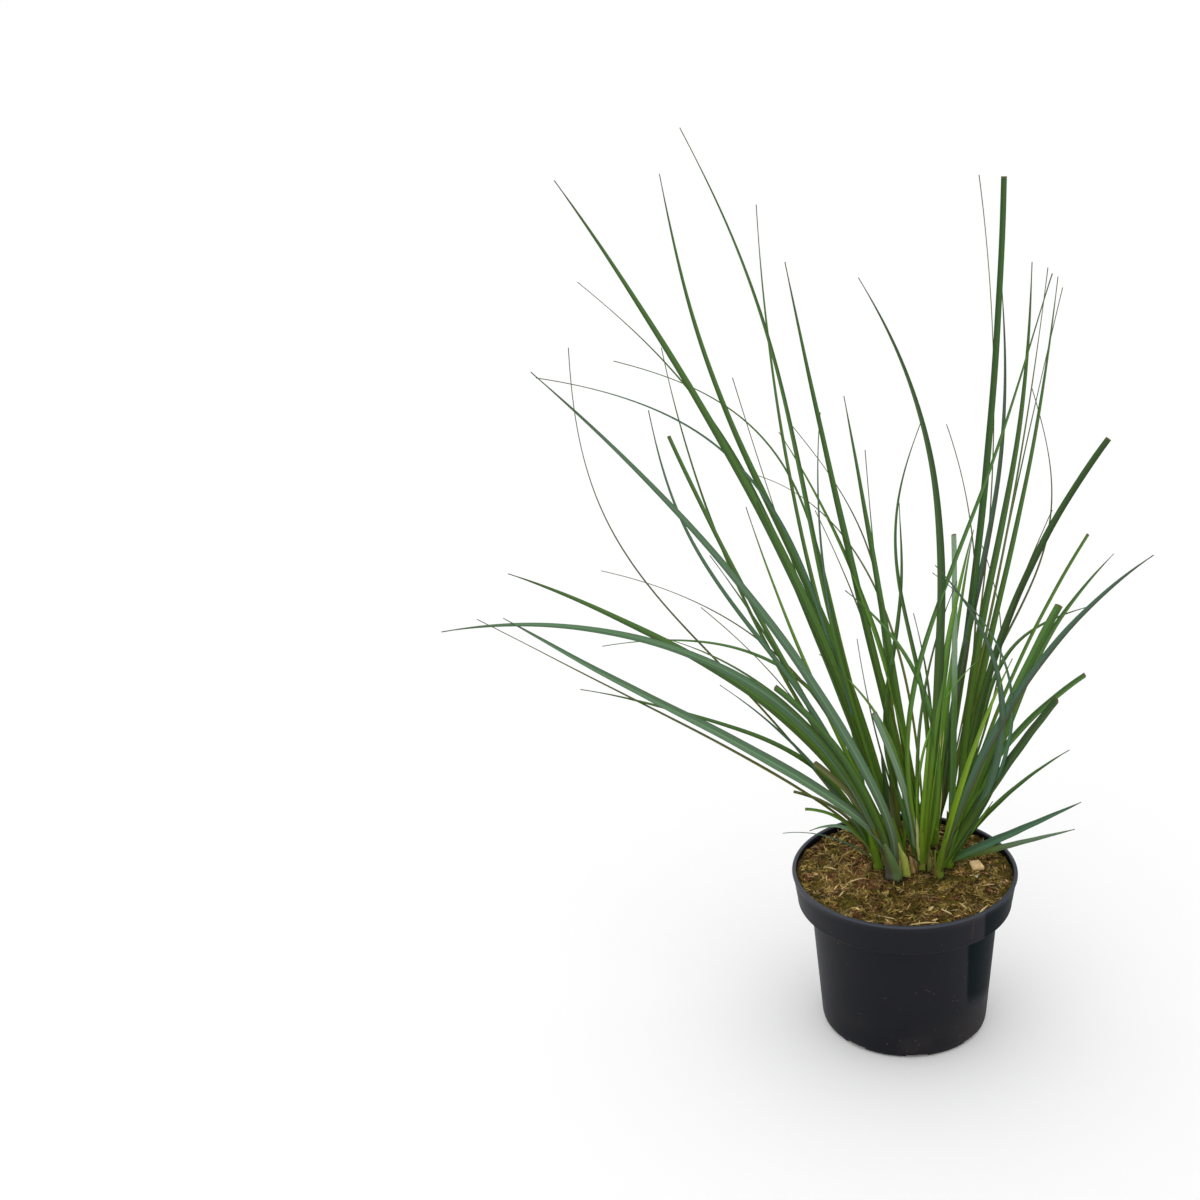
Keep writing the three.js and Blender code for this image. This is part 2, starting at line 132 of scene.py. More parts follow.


# Leaf colours: blade, and how strongly its middle rib shows pale, its outer edge brown and one half dark
# (painted shade of the fold).
TONES = {
    "blue": (srgb(72, 104, 76), 0.45, 0.0, 0.22),
    "ribbed": (srgb(88, 120, 90), 1.0, 0.0, 0.25),
    "green": (srgb(76, 112, 50), 0.3, 0.0, 0.35),
    "bright": (srgb(94, 134, 48), 0.3, 0.0, 0.3),
    "lime": (srgb(114, 144, 34), 0.2, 0.1, 0.25),
    "dark": (srgb(56, 86, 40), 0.25, 0.0, 0.3),
    "olive": (srgb(96, 106, 56), 0.2, 0.15, 0.35),
    "plum": (srgb(66, 96, 72), 0.3, 0.9, 0.2),
    "grey": (srgb(104, 128, 96), 0.5, 0.0, 0.2),
    "striped": (srgb(100, 126, 90), 0.9, 0.0, 0.1),
    "pale": (srgb(142, 168, 130), 0.2, 0.0, 0.1),
    "sheath": (srgb(92, 120, 76), 0.5, 0.0, 0.3),
    "cream": (srgb(196, 194, 124), 0.1, 0.0, 0.1),
}
# Stem colours: at the soil, where the leaves part, and on the right-hand flank.
STEMS = {
    "purple": (srgb(84, 74, 78), srgb(88, 90, 58), srgb(98, 126, 72)),
    "lime": (srgb(120, 146, 44), srgb(116, 144, 26), srgb(96, 132, 30)),
    "green": (srgb(98, 120, 30), srgb(86, 120, 14), srgb(100, 132, 28)),
    "brown": (srgb(116, 96, 50), srgb(90, 120, 24), srgb(104, 130, 34)),
}

# Every leafy shoot keeps its leaves on one shallow cone round the crown, as in the solids.
# A leaf is x, z of its place halfway along, x, z of its tip, width, end, tone, snake, cling.
SHOOTS = [
    dict(name="shoot_front_left", x=-8.5, depth=2, sweep=-0.52, stem=14, lean=-8, tone="purple", leaves=[
        (-84, 417, -230, 675, 8, POINT, "ribbed", 0, 7),
        (-151, 345, -278, 475, 9, POINT, "ribbed", 6, 12),
        (-130, 400, -320, 470, 7.5, POINT, "ribbed", 5),
        (-73, 333, -170, 438, 4, POINT, "green"),
        (-42, 279, -96, 378, 7, CUT, "green"),
        (-32, 225, -70, 290, 6.5, CUT, "olive"),
        (-8.5, 158, -9.5, 173, 8, CUT, "sheath"),
    ]),
    dict(name="shoot_front_right", x=29, depth=6, sweep=-0.43, stem=8, lean=5, tone="brown", leaves=[
        (75, 325, 22, 479, 6, POINT, "blue"),
        (82, 335, 20, 472, 3, POINT, "blue"),
        (78, 270, 115, 351, 9.5, CUT, "dark"),
        (86, 355, 171, 495, 7, POINT, "plum"),
        (52, 280, 80, 390, 5, POINT, "lime"),
        (38, 172, 45, 200, 5.5, POINT, "bright"),
    ]),
    dict(name="shoot_front", x=15.5, depth=10, sweep=-0.34, stem=6, lean=0, tone="lime", leaves=[
        (1.5, 227, -24, 317, 7.5, CUT, "striped", 0, -3),
        (27, 458, -30, 700, 7, POINT, "dark", -5),
        (27, 292, 37, 410, 4.5, POINT, "bright"),
        (16, 278, 57, 373, 2.5, POINT, "bright"),
        (21, 315, -44, 440, 5.5, POINT, "green"),
        (13, 310, 39, 448, 3, POINT, "green"),
        (26, 428, 95, 700, 4, POINT, "green", -11),
        (26, 325, 49, 492, 7.5, POINT, "bright"),
        (3, 190, -6, 240, 7, POINT, "green"),
        (13, 176, 10.5, 205, 8, POINT, "cream"),
    ]),
    dict(name="shoot_left", x=-22, depth=14, sweep=-0.25, stem=8, lean=-9, tone="green", leaves=[
        (-115, 284, -256, 344, 4.5, POINT, "green", 8),
        (-170, 297, -329, 416, 2.5, POINT, "olive", 4, 8),
        (-138, 345, -301, 455, 8, POINT, "green", 7, 6),
        (-75, 254, -146, 339, 3.5, POINT, "blue"),
        (-48, 197, -91, 227, 3.5, CUT, "olive"),
        (-48, 190, -82, 208, 3.5, CUT, "bright"),
        (-61, 176, -101, 185, 1.5, POINT, "blue"),
        (-45, 183, -79, 185, 4.5, POINT, "grey"),
        (-113, 382, -184, 588, 4.5, POINT, "blue", 13),
        (-27, 172, -36, 196, 6, POINT, "bright"),
    ]),
    dict(name="shoot_right", x=38, depth=18, sweep=-0.17, stem=8, lean=8, tone="green", leaves=[
        (89, 178, 144, 215, 7.5, POINT, "blue"),
        (90, 167, 140, 188, 5.5, POINT, "grey"),
        (75, 252, 142, 337, 7.5, CUT, "green"),
        (75, 278, 119, 401, 9, CUT, "green"),
        (80, 316, 138, 464, 3.5, CUT, "bright"),
        (50, 172, 60, 202, 8, POINT, "green"),
        (40, 306, 37.5, 463, 6, CUT, "pale"),
    ]),
    dict(name="shoot_middle_left", x=-3, depth=22, sweep=-0.08, stem=9, lean=-7, tone="green", leaves=[
        (-117, 480, -256, 742, 8, POINT, "green", 2.5),
        (-79, 495, -161, 777, 4.5, POINT, "green", -9),
        (-106, 353, -182, 537, 4.5, CUT, "green"),
        (-57, 362, -64, 554, 3, POINT, "blue"),
        (-71, 307, -124, 475, 4, POINT, "bright"),
        (-58, 318, -115, 479, 4, POINT, "green"),
        (-10, 255, -69, 342, 4, POINT, "bright"),
        (-8, 180, -13, 212, 7, POINT, "olive"),
        (-12, 195, -19, 245, 8, POINT, "dark"),
    ]),
    dict(name="shoot_middle", x=16, depth=26, sweep=0.01, stem=8, lean=-3, tone="green", leaves=[
        (-44, 420, -91, 662, 6.5, POINT, "green"),
        (-24, 352, -99, 525, 5, POINT, "bright"),
        (-16, 361, -47, 554, 6.5, POINT, "green"),
        (-12, 311, -4, 464, 5, POINT, "green", -10),
        (3, 242, 14, 334, 4.5, POINT, "olive"),
        (4, 352, 14, 534, 4, POINT, "green", 13),
        (-20, 382, -119, 489, 2.2, POINT, "olive"),
        (10, 185, 2, 232, 8, POINT, "dark"),
        (22, 190, 24, 240, 7, POINT, "green"),
    ]),
    dict(name="shoot_middle_right", x=45, depth=30, sweep=0.1, stem=9, lean=6, tone="green", leaves=[
        (74, 406, 99, 645, 6.5, POINT, "green", -6),
        (81, 340, 162, 503, 7, CUT, "dark"),
        (96, 285, 169, 407, 8, POINT, "green", 4),
        (87, 195, 138, 235, 4.5, POINT, "green"),
        (60, 165, 75, 189, 3.5, POINT, "bright"),
        (71, 300, 119, 445, 3.5, POINT, "olive"),
        (56, 175, 66, 205, 8, POINT, "green"),
    ]),
    dict(name="shoot_back_left", x=-28, depth=34, sweep=0.19, stem=7, lean=-6, tone="green", leaves=[
        (-96, 293, -264, 307, 4, POINT, "green"),
        (-100, 301, -262, 376, 2, POINT, "olive"),
        (-83, 255, -174, 348, 1.5, POINT, "olive"),
        (-195, 336, -283, 569, 2, POINT, "olive", 16),
        (-86, 272, -165, 394, 3.5, POINT, "green"),
        (-97, 412, -313, 543, 3.2, POINT, "blue", -12),
        (-38, 180, -52, 215, 7, POINT, "dark"),
    ]),
    dict(name="shoot_back", x=-6, depth=38, sweep=0.28, stem=8, lean=-6, tone="green", leaves=[
        (-112, 420, -207, 700, 7, POINT, "green", 11),
        (-108, 397, -282, 611, 3.5, POINT, "green", -10),
        (-76, 400, -251, 545, 2.6, POINT, "green", -19),
        (-133, 335, -208, 557, 3.5, POINT, "green"),
        (-87, 402, -124, 674, 4, POINT, "green"),
        (-80, 336, -146, 533, 1.5, POINT, "olive"),
        (-10, 205, -16, 262, 8, POINT, "olive"),
    ]),
    dict(name="shoot_back_right", x=26, depth=42, sweep=0.36, stem=8, lean=4, tone="green", leaves=[
        (66, 411, 84, 682, 7, CUT, "dark"),
        (66, 366, 82, 600, 6, POINT, "plum", -7),
        (61, 325, 36, 485, 2, POINT, "olive"),
        (38, 268, 59, 399, 5.5, POINT, "bright"),
        (82, 369, 121, 608, 2.5, POINT, "olive"),
        (73, 411, 63, 684, 1.5, POINT, "olive"),
        (30, 196, 34, 246, 7, POINT, "cream"),
        (35, 200, 39, 250, 8, POINT, "dark"),
    ]),
    dict(name="shoot_far_left", x=8, depth=45.5, sweep=0.44, stem=6, lean=-2, tone="green", leaves=[
        (-16, 289, -34, 456, 2.5, POINT, "green"),
        (-16, 308, -98, 474, 2.5, POINT, "olive", -11),
        (-18, 270, -78, 406, 2.5, POINT, "olive"),
        (-20, 212, -41, 303, 2, POINT, "green"),
        (24, 225, 8, 325, 3.5, POINT, "green"),
        (26, 214, 40, 303, 4.5, POINT, "green"),
        (2, 178, -6, 206, 7, POINT, "green"),
    ]),
    dict(name="shoot_far_right", x=40, depth=49, sweep=0.51, stem=7, lean=4, tone="green", leaves=[
        (90, 354, 135, 583, 5.5, POINT, "green", -3),
        (83, 351, 139, 574, 2, POINT, "green"),
        (97, 312, 112, 494, 2.5, POINT, "olive", -19),
        (74, 254, 166, 315, 5, POINT, "green", 10),
        (78, 250, 68, 371, 2, POINT, "green", -5),
    ]),
]

# Cut-off sheaths with no leaf left: name, x, y, width, height above the crown's level, lean, slant of the
# top, way the open side faces in degrees, foot and top colour.
STUBS = [
    ("cut_sheath_green", 4.2, -4.2, 10, 30, -6.5, 0.16, 80, srgb(132, 152, 50), srgb(172, 182, 84)),
    ("cut_sheath_dry", 9.5, 0.3, 7.5, 18, -2.5, 0.08, -60, srgb(122, 96, 54), srgb(172, 140, 94)),
    ("cut_sheath_small", 21.8, 5, 4.6, 22, 0, 0.05, -60, srgb(94, 126, 44), srgb(140, 132, 70)),
]

CHIP = dict(x=61, y=11, long=13, broad=10, thick=3, turn=0.3)
# Loose straws on the soil: x, y of the middle, length, width, turn in degrees.
STRAWS = [
    (16, -83, 24, 1.6, 12), (48, -54, 11, 1.4, -58), (64, -61, 17, 1.5, 62), (40, -83, 12, 1.4, 6),
    (34, -65, 11, 1.3, -40), (-40, -19, 18, 1.2, 33), (-62, 1, 12, 1.2, -22), (-52, -41, 10, 1.2, 70),
    (-24, 60, 14, 1.2, 12), (30, 68, 12, 1.2, -30), (66, 32, 11, 1.2, 48), (22, -59, 8, 2.4, 64),
    (-12, -76, 11, 1.2, -18), (70, -20, 11, 1.1, 15),
]


# ---- meshes from arrays ----
def put(name, data):
    """A new object of the data, in the scene."""
    made = bpy.data.objects.new(name, data)
    bpy.context.scene.collection.objects.link(made)
    return made


def skins(rings):
    """Closed skins over rings of points, for a (count, rows, around, 3) array at once.

    Ring i joins ring i + 1 by quads, and a fan of triangles to the ring's mean closes each end.
    Rings run anticlockwise about the way the rows go, so the faces point outwards.
    """
    count, rows, around, _ = rings.shape
    size = rows * around + 2
    base = (np.arange(count) * size)[:, None, None]
    here = base + np.arange(rows * around).reshape(1, rows, around)
    after = np.roll(here, -1, axis=2)
    quads = np.stack([here[:, :-1], after[:, :-1], after[:, 1:], here[:, 1:]], -1).reshape(-1, 4)
    first = np.broadcast_to(base[:, 0] + size - 2, (count, around))
    last = first + 1
    fans = np.concatenate([
        np.stack([first, after[:, 0], here[:, 0]], -1).reshape(-1, 3),
        np.stack([last, here[:, -1], after[:, -1]], -1).reshape(-1, 3),
    ])
    return with_ends(rings), quads, fans


def with_ends(values):
    """Per-ring values (count, rows, around, k), one row a vertex, the two end means after each skin."""
    count, rows, around, size = values.shape
    ends = np.stack([values[:, 0].mean(1), values[:, -1].mean(1)], 1)
    return np.concatenate([values.reshape(count, rows * around, size), ends], 1).reshape(-1, size)


def round_axis(x, y, z, radius, angle, flatness=1.0):
    """Points in metres at angles round an upright axis: x + radius cos, y + flatness radius sin, and z."""
    across, deep = x + radius * np.cos(angle), y + radius * flatness * np.sin(angle)
    return np.stack(np.broadcast_arrays(across, deep, z), -1) * MM


def add_piece(name, form, finish, replaces=None, colour=None, uv=None):
    """A smooth piece from a form (points in metres, quads, triangles), with its colours and UV map."""
    points, quads, fans = form
    mesh = bpy.data.meshes.new(name)
    corners = np.concatenate([quads.ravel(), fans.ravel()]).astype(np.int32)
    sizes = np.concatenate([np.full(len(quads), 4), np.full(len(fans), 3)])
    mesh.vertices.add(len(points))
    mesh.vertices.foreach_set("co", points.astype(np.float32).ravel())
    mesh.loops.add(len(corners))
    mesh.loops.foreach_set("vertex_index", corners)
    mesh.polygons.add(len(sizes))
    mesh.polygons.foreach_set("loop_start", (np.cumsum(sizes) - sizes).astype(np.int32))
    mesh.update(calc_edges=True)
    mesh.polygons.foreach_set("use_smooth", np.ones(len(sizes), bool))
    if colour is not None:
        layer = mesh.attributes.new("tone", "FLOAT_COLOR", "POINT")
        layer.data.foreach_set("color", np.c_[colour, np.ones(len(colour))].astype(np.float32).ravel())
    if uv is not None:
        layer = mesh.uv_layers.new(name="lay")
        layer.data.foreach_set("uv", uv[corners].astype(np.float32).ravel())
    mesh.materials.append(finish)
    piece = put(name, mesh)
    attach(piece, "root")
    if replaces:
        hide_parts(replaces)


def ripples(x, y, seed, sizes):
    """A rough height of about 1: for each size, 14 sines in seeded directions, summed and over 3.8.

    Each next size in the list stands 0.6 times as high.
    """
    rng = np.random.default_rng(seed)
    total = np.zeros_like(x)
    for level, size in enumerate(sizes):
        turn = rng.uniform(0, 2 * np.pi, RIPPLE_WAVES)
        phase = rng.uniform(0, 2 * np.pi, RIPPLE_WAVES)
        stretch = rng.uniform(0.75, 1.3, RIPPLE_WAVES) * 2 * np.pi / size
        for a, p, s in zip(turn, phase, stretch):
            total += RIPPLE_SHARE**level * np.sin(s * (x * np.cos(a) + y * np.sin(a)) + p) / RIPPLE_SPREAD
    return total


def ramp(value, start, end):
    """0 up to start and 1 from end, straight between. With end under start it falls instead."""
    return np.clip((value - start) / (end - start), 0, 1)


# ---- finishes ----
def maths(operation, swapped=False):
    """An operator that adds one Math node, its two values in order or swapped."""
    def operator(self, other=0.0):
        first, second = (other, self) if swapped else (self, other)
        return self.finish.node("Math", {"operation": operation}, {0: first, 1: second})
    return operator


class Wire:
    """One value in a node tree. Arithmetic on it adds Math nodes."""

    def __init__(self, finish, out):
        self.finish = finish
        self.out = out

    __add__ = __radd__ = maths("ADD")
    __mul__ = __rmul__ = maths("MULTIPLY")
    __sub__ = maths("SUBTRACT")
    __rsub__ = maths("SUBTRACT", swapped=True)
    __abs__ = maths("ABSOLUTE")


class Finish:
    """A material built in words: node() adds any node, and the other methods name the ones used often."""

    def __init__(self, name, **constants):
        self.material = bpy.data.materials.new(name)
        self.material.use_nodes = True
        self.tree = self.material.node_tree
        self.shader = self.tree.nodes["Principled BSDF"]
        for socket, value in constants.items():
            self.shader.inputs[socket.replace("_", " ")].default_value = value

    def node(self, kind, settings=None, inputs=None, output=0):
        """Adds one shader node: its settings first, then the values or links of its sockets."""
        made = self.tree.nodes.new("ShaderNode" + kind)
        for key, value in (settings or {}).items():
            if key == "stops":
                self.set_stops(made.color_ramp, value)
            else:
                setattr(made, key, value)
        for key, value in (inputs or {}).items():
            if isinstance(value, Wire):
                self.tree.links.new(value.out, made.inputs[key])
            else:
                made.inputs[key].default_value = value
        return Wire(self, made.outputs[output])

    @staticmethod
    def set_stops(ramp, stops):
        while len(ramp.elements) < len(stops):
            ramp.elements.new(1.0)
        for element, (place, colour) in zip(ramp.elements, stops):
            element.position = place
            element.color = (*colour, 1.0)

    def give(self, socket, wire):
        self.tree.links.new(wire.out, self.shader.inputs[socket])

    def place(self, scale=(1.0, 1.0, 1.0), turn=(0.0, 0.0, 0.0)):
        """Object coordinates, scaled."""
        made = self.node("TexCoord", output="Object")
        return self.node("Mapping", {}, {"Vector": made, "Scale": scale, "Rotation": turn})

    def lay(self, scale=(1.0, 1.0, 1.0)):
        """The piece's own UV map, scaled: across in metres, then along in metres."""
        made = self.node("UVMap", {"uv_map": "lay"})
        return self.node("Mapping", {}, {"Vector": made, "Scale": scale})

    def tone(self):
        return self.node("Attribute", {"attribute_name": "tone"}, output="Color")

    def noise(self, scale, detail=3.0, rough=0.55, at=None):
        """Smooth noise at the Object coordinates, or at the place given."""
        return self.node("TexNoise", {}, {
            "Vector": at or self.place(), "Scale": scale, "Detail": detail, "Roughness": rough})

    def specks(self, scale):
        """Distance from the nearest of a cloud of seeds."""
        return self.node("TexVoronoi", {}, {"Vector": self.place(), "Scale": scale})

    def between(self, value, low, high):
        """0 up to low, 1 from high, smooth between. With high under low it falls instead."""
        return self.node("MapRange", {"interpolation_type": "SMOOTHSTEP"},
                         {"Value": value, "From Min": low, "From Max": high})

    def blend(self, factor, a, b, how="MIX"):
        """Colour a turned into b by the factor."""
        def four(colour):
            return colour if isinstance(colour, Wire) else (*colour, 1.0)
        return self.node("Mix", {"data_type": "RGBA", "blend_type": how},
                         {0: factor, 6: four(a), 7: four(b)}, output=2)

    def shade(self, colour, value):
        """A colour made lighter or darker by a value round 1."""
        return self.node("VectorMath", {"operation": "SCALE"}, {0: colour, "Scale": value})

    def bump(self, height, distance):
        self.give("Normal", self.node("Bump", {}, {"Height": height, "Distance": distance, "Strength": 1.0}))


def leaf_finish():
    """Leaf: fine parallel veins along the blade, faint patches, a few small rust spots and a light bloom."""
    f = Finish("leaf", Specular_IOR_Level=0.2, Sheen_Weight=0.03, Sheen_Roughness=0.5)
    veins = f.noise(1.0, 2.0, at=f.lay((2200, 14, 1)))
    streaks = f.noise(1.0, 2.0, at=f.lay((700, 7, 1)))
    patches = f.noise(16.0, 2.0)
    spots = f.between(f.specks(95.0), 0.10, 0.04)
    rare = f.between(f.noise(42.0, 1.0), 0.62, 0.70)
    body = f.shade(f.tone(), 0.56 + veins * 0.46 + streaks * 0.30 + patches * 0.10)
    f.give("Base Color", f.blend(spots * rare * 0.6, body, srgb(104, 72, 34)))
    f.give("Roughness", 0.42 + veins * 0.16 + streaks * 0.12)
    f.bump(veins * 0.7 + streaks, 0.00025)
    return f.material


def sheath_finish():
    """Sheath: coarser ribs along it, papery patches and brown flecks."""
    f = Finish("sheath", Specular_IOR_Level=0.32)
    ribs = f.noise(1.0, 2.0, at=f.lay((1500, 20, 1)))
    patches = f.noise(150.0, 3.0)
    flecks = f.between(f.noise(520.0, 2.0, at=f.place((1, 1, 0.35))), 0.62, 0.72)
    body = f.shade(f.tone(), 0.66 + ribs * 0.46 + patches * 0.22)
    f.give("Base Color", f.blend(flecks * 0.5, body, srgb(104, 74, 40)))
    f.give("Roughness", 0.48 + ribs * 0.2)
    f.bump(ribs + patches * 0.4, 0.0003)
    return f.material


def pot_finish():
    """Pot: semi-matt black moulded plastic with fine grain, faint rings, dust, specks and grit.

    Over that lie a paler lip (a painted highlight), a brown seam and a dull teal band (a painted reflection).
    """
    f = Finish("pot_plastic", Specular_IOR_Level=0.02, Coat_Roughness=0.45)

    def grit(scale, edge, patches, low, high):
        """Specks with a soft edge between two distances from their middles, where the patches are high."""
        return f.between(f.specks(scale), *edge) * f.between(patches, low, high)

    grain = f.noise(900.0, 2.0)
    cloud = f.noise(22.0, 3.0)
    rings = f.noise(1.0, 1.0, at=f.place((6, 6, 420)))
    height = axes(f)[2]
    near_base = f.between(height, 0.035, 0.012)
    # low down: dust, and in part a painted warm-grey highlight
    low_dust_and_highlight = f.between(height, 0.045, 0.0) * f.between(cloud, 0.42, 0.66)
    dust = grit(420.0, (0.16, 0.08), f.noise(90.0, 2.0), 0.52, 0.66)
    pale_grit = grit(170.0, (0.10, 0.045), f.noise(61.0, 1.0), 0.60, 0.66)
    rust_grit = grit(210.0, (0.15, 0.07), f.noise(47.0, 1.0) + near_base * 0.12, 0.62, 0.68)
    scuffs = f.between(f.noise(1.0, 3.0, at=f.place((18, 18, 240))), 0.66, 0.78)
    # painted reflection: a dull teal band on the right-hand flank, with less coat there
    teal_reflection = teal_reflection_mask(f)
    # painted highlight: a paler bluish grey band along the lip
    lip = f.between(height, POT_HEIGHT * MM - 0.0026, POT_HEIGHT * MM - 0.0008)
    body = f.shade(f.blend(cloud, srgb(9, 10, 19), srgb(14, 15, 24)), 0.9 + grain * 0.2)
    # the teal band is a painted reflection and the paler lip a painted highlight; the other marks are dust,
    # scuffs, grit and the seam
    for share, colour in [
        (teal_reflection * 0.9, srgb(6, 18, 22)), (lip * 0.6, srgb(66, 70, 82)), (scuffs * 0.10, srgb(74, 74, 80)),
        (low_dust_and_highlight * 0.22, srgb(72, 64, 54)), (dust * 0.25, srgb(92, 88, 82)),
        (pale_grit * 0.5, srgb(138, 130, 110)), (rust_grit * 0.6, srgb(112, 70, 38)),
        (seam_mask(f) * 0.8, srgb(46, 26, 18)),
    ]:
        body = f.blend(share, body, colour)
    f.give("Base Color", body)
    f.give("Coat Weight", POT_SHINE - teal_reflection * POT_SHINE + lip * 0.3)
    f.give("Roughness", 0.42 + cloud * 0.10 + low_dust_and_highlight * 0.3 + scuffs * 0.06)
    f.bump(grain * 0.5 + rings * 0.5 + pale_grit * 2.0 + rust_grit * 2.0, 0.00012)
    return f.material


def axes(f):
    """The three Object coordinates."""
    place = f.place()
    return [f.node("SeparateXYZ", {}, {0: place}, output=axis) for axis in "XYZ"]


def seam_mask(f):
    """1 on a thin upright line on the collar, within a millimetre of the plane at SEAM_DEG."""
    angle = math.radians(SEAM_DEG)
    x, y, z = axes(f)
    off = abs(x * math.sin(angle) - y * math.cos(angle))
    ahead = f.between(x * math.cos(angle) + y * math.sin(angle), 0.05, 0.06)
    top = POT_HEIGHT * MM
    upright = f.between(z, top - 0.026, top - 0.021) * f.between(z, top - 0.002, top - 0.004)
    return f.between(off, 0.0012, 0.0006) * ahead * upright


def teal_reflection_mask(f):
    """1 on the right-hand flank, where a teal reflection is painted: beyond SHEEN_WALL or SHEEN_COLLAR along
    x, down to mid wall.
    """
    x, y, z = axes(f)
    on_collar = f.between(z, (LEDGE - 1) * MM, LEDGE * MM)
    start = on_collar * ((SHEEN_COLLAR - SHEEN_WALL) * MM) + SHEEN_WALL * MM
    low = f.between(z + x * 0.6, 0.070, 0.088)
    return f.between(x - start, -0.001, 0.002) * f.between(y, 0.03, 0.0) * low


def soil_finish():
    """Compost bed: dark wet crumbs in clumps, brown fibre and patches of olive moss and of rust-red peat."""
    f = Finish("compost", Specular_IOR_Level=0.15)
    crumbs = f.noise(420.0, 4.0, 0.7)
    fibre = f.noise(260.0, 3.0, at=f.place((1.0, 3.2, 1.0), (0, 0, 0.6)))
    clumps = f.noise(95.0, 2.0)
    moss = f.between(f.noise(38.0, 3.0), 0.46, 0.60)
    peat = f.between(f.noise(24.0, 2.0, at=f.place((1.0, 1.4, 1.0))), 0.54, 0.64)
    body = f.node("ValToRGB", {"stops": [
        (0.38, srgb(16, 11, 4)), (0.47, srgb(66, 50, 20)),
        (0.56, srgb(122, 98, 48)), (0.70, srgb(172, 146, 92)),
    ]}, {0: crumbs * 0.6 + fibre * 0.4})
    body = f.blend(peat * 0.3, body, srgb(98, 62, 36))
    body = f.shade(f.blend(moss * 0.6, body, srgb(100, 92, 28)), 0.2 + clumps * 1.6)
    # the tone attribute multiplies in the painted shade round the stems' feet
    f.give("Base Color", f.blend(1.0, body, f.tone(), "MULTIPLY"))
    f.give("Roughness", 0.8 + crumbs * 0.2)
    f.bump(crumbs + fibre * 0.6, 0.0012)
    return f.material


def fibre_finish():
    """Loose fibre, straw and bark: its own colour with darker streaks."""
    f = Finish("fibre", Specular_IOR_Level=0.22)
    streaks = f.noise(1400.0, 2.0)
    f.give("Base Color", f.shade(f.tone(), 0.62 + streaks * 0.76))
    f.give("Roughness", 0.62 + streaks * 0.25)
    f.bump(streaks, 0.0002)
    return f.material


def chip_finish():
    """Split wood: straight grain with darker rings and rough ends."""
    f = Finish("chip_wood", Specular_IOR_Level=0.25)
    turn = (0.0, 0.0, -CHIP["turn"])
    grain = f.noise(1.0, 3.0, at=f.place((1100, 130, 1100), turn))
    bands = f.noise(1.0, 1.0, at=f.place((320, 24, 320), turn))
    body = f.blend(f.between(grain, 0.35, 0.70), srgb(230, 202, 150), srgb(198, 164, 110))
    f.give("Base Color", f.blend(f.between(bands, 0.54, 0.70) * 0.5, body, srgb(166, 128, 80)))
    f.give("Roughness", 0.62 + grain * 0.2)
    f.bump(grain + bands * 0.6, 0.0004)
    return f.material


def floor_finish():
    pale = (0.92, 0.92, 0.92, 1.0)
    return Finish("pale_floor", Base_Color=pale, Roughness=0.8, Specular_IOR_Level=0.1).material


# ---- leaves ----
def through(root, halfway, tip, t):
    """The parabola that passes its three places at t = 0, 1/2 and 1."""
    return root * (1 - t) * (1 - 2 * t) + 4 * halfway * t * (1 - t) + tip * t * (2 * t - 1)


def depth_at(shoot, x, z):
    """The shoot's cone: depth + sweep times the distance from the crown in the XZ view."""
    return shoot["depth"] + shoot["sweep"] * np.hypot(x - CROWN_X, z - CROWN_LEVEL)


def leaf_line(shoot, leaf, order, t):
    """A leaf's middle line: parabolas in x and z, bent sideways and laid on the shoot's cone.

    The bend is snake * sin(2 pi t), and cling * t * (1 - t) ** 8 over that curve's highest value.
    """
    half_x, half_z, tip_x, tip_z = leaf[:4]
    snake, cling = (*leaf[7:], 0, 0)[:2]
    root_x = shoot["x"] + ROOT_SPREAD * shoot["stem"] * math.sin(TWIST_RHYTHM * order)
    root_z = CROWN_LEVEL + LEAF_START
    highest = CLING_POWER**CLING_POWER / (CLING_POWER + 1) ** (CLING_POWER + 1)
    bend = snake * np.sin(2 * np.pi * t) + cling * t * (1 - t) ** CLING_POWER / highest
    bend = bend / math.hypot(tip_x - root_x, tip_z - root_z)
    x = through(root_x, half_x, tip_x, t) + bend * (tip_z - root_z)
    z = through(root_z, half_z, tip_z, t) - bend * (tip_x - root_x)
    return np.stack([x, depth_at(shoot, x, z), z], -1)


def leaf_width(width, end, t):
    """The width, 0.85 of it at the foot, times ((1 - t) / 0.65) ** 0.65 to a point or 1 - 0.3 t to a cut."""
    foot = LEAF_FOOT_SHARE + (1 - LEAF_FOOT_SHARE) * np.minimum(1, t / LEAF_FOOT_LENGTH)
    taper = 1 - LEAF_CUT_TAPER * t if end == CUT else np.minimum(1, (1 - t) / LEAF_TAPER) ** LEAF_TAPER_POWER
    return np.maximum(LEAF_TIP_WIDTH, width * foot * taper)


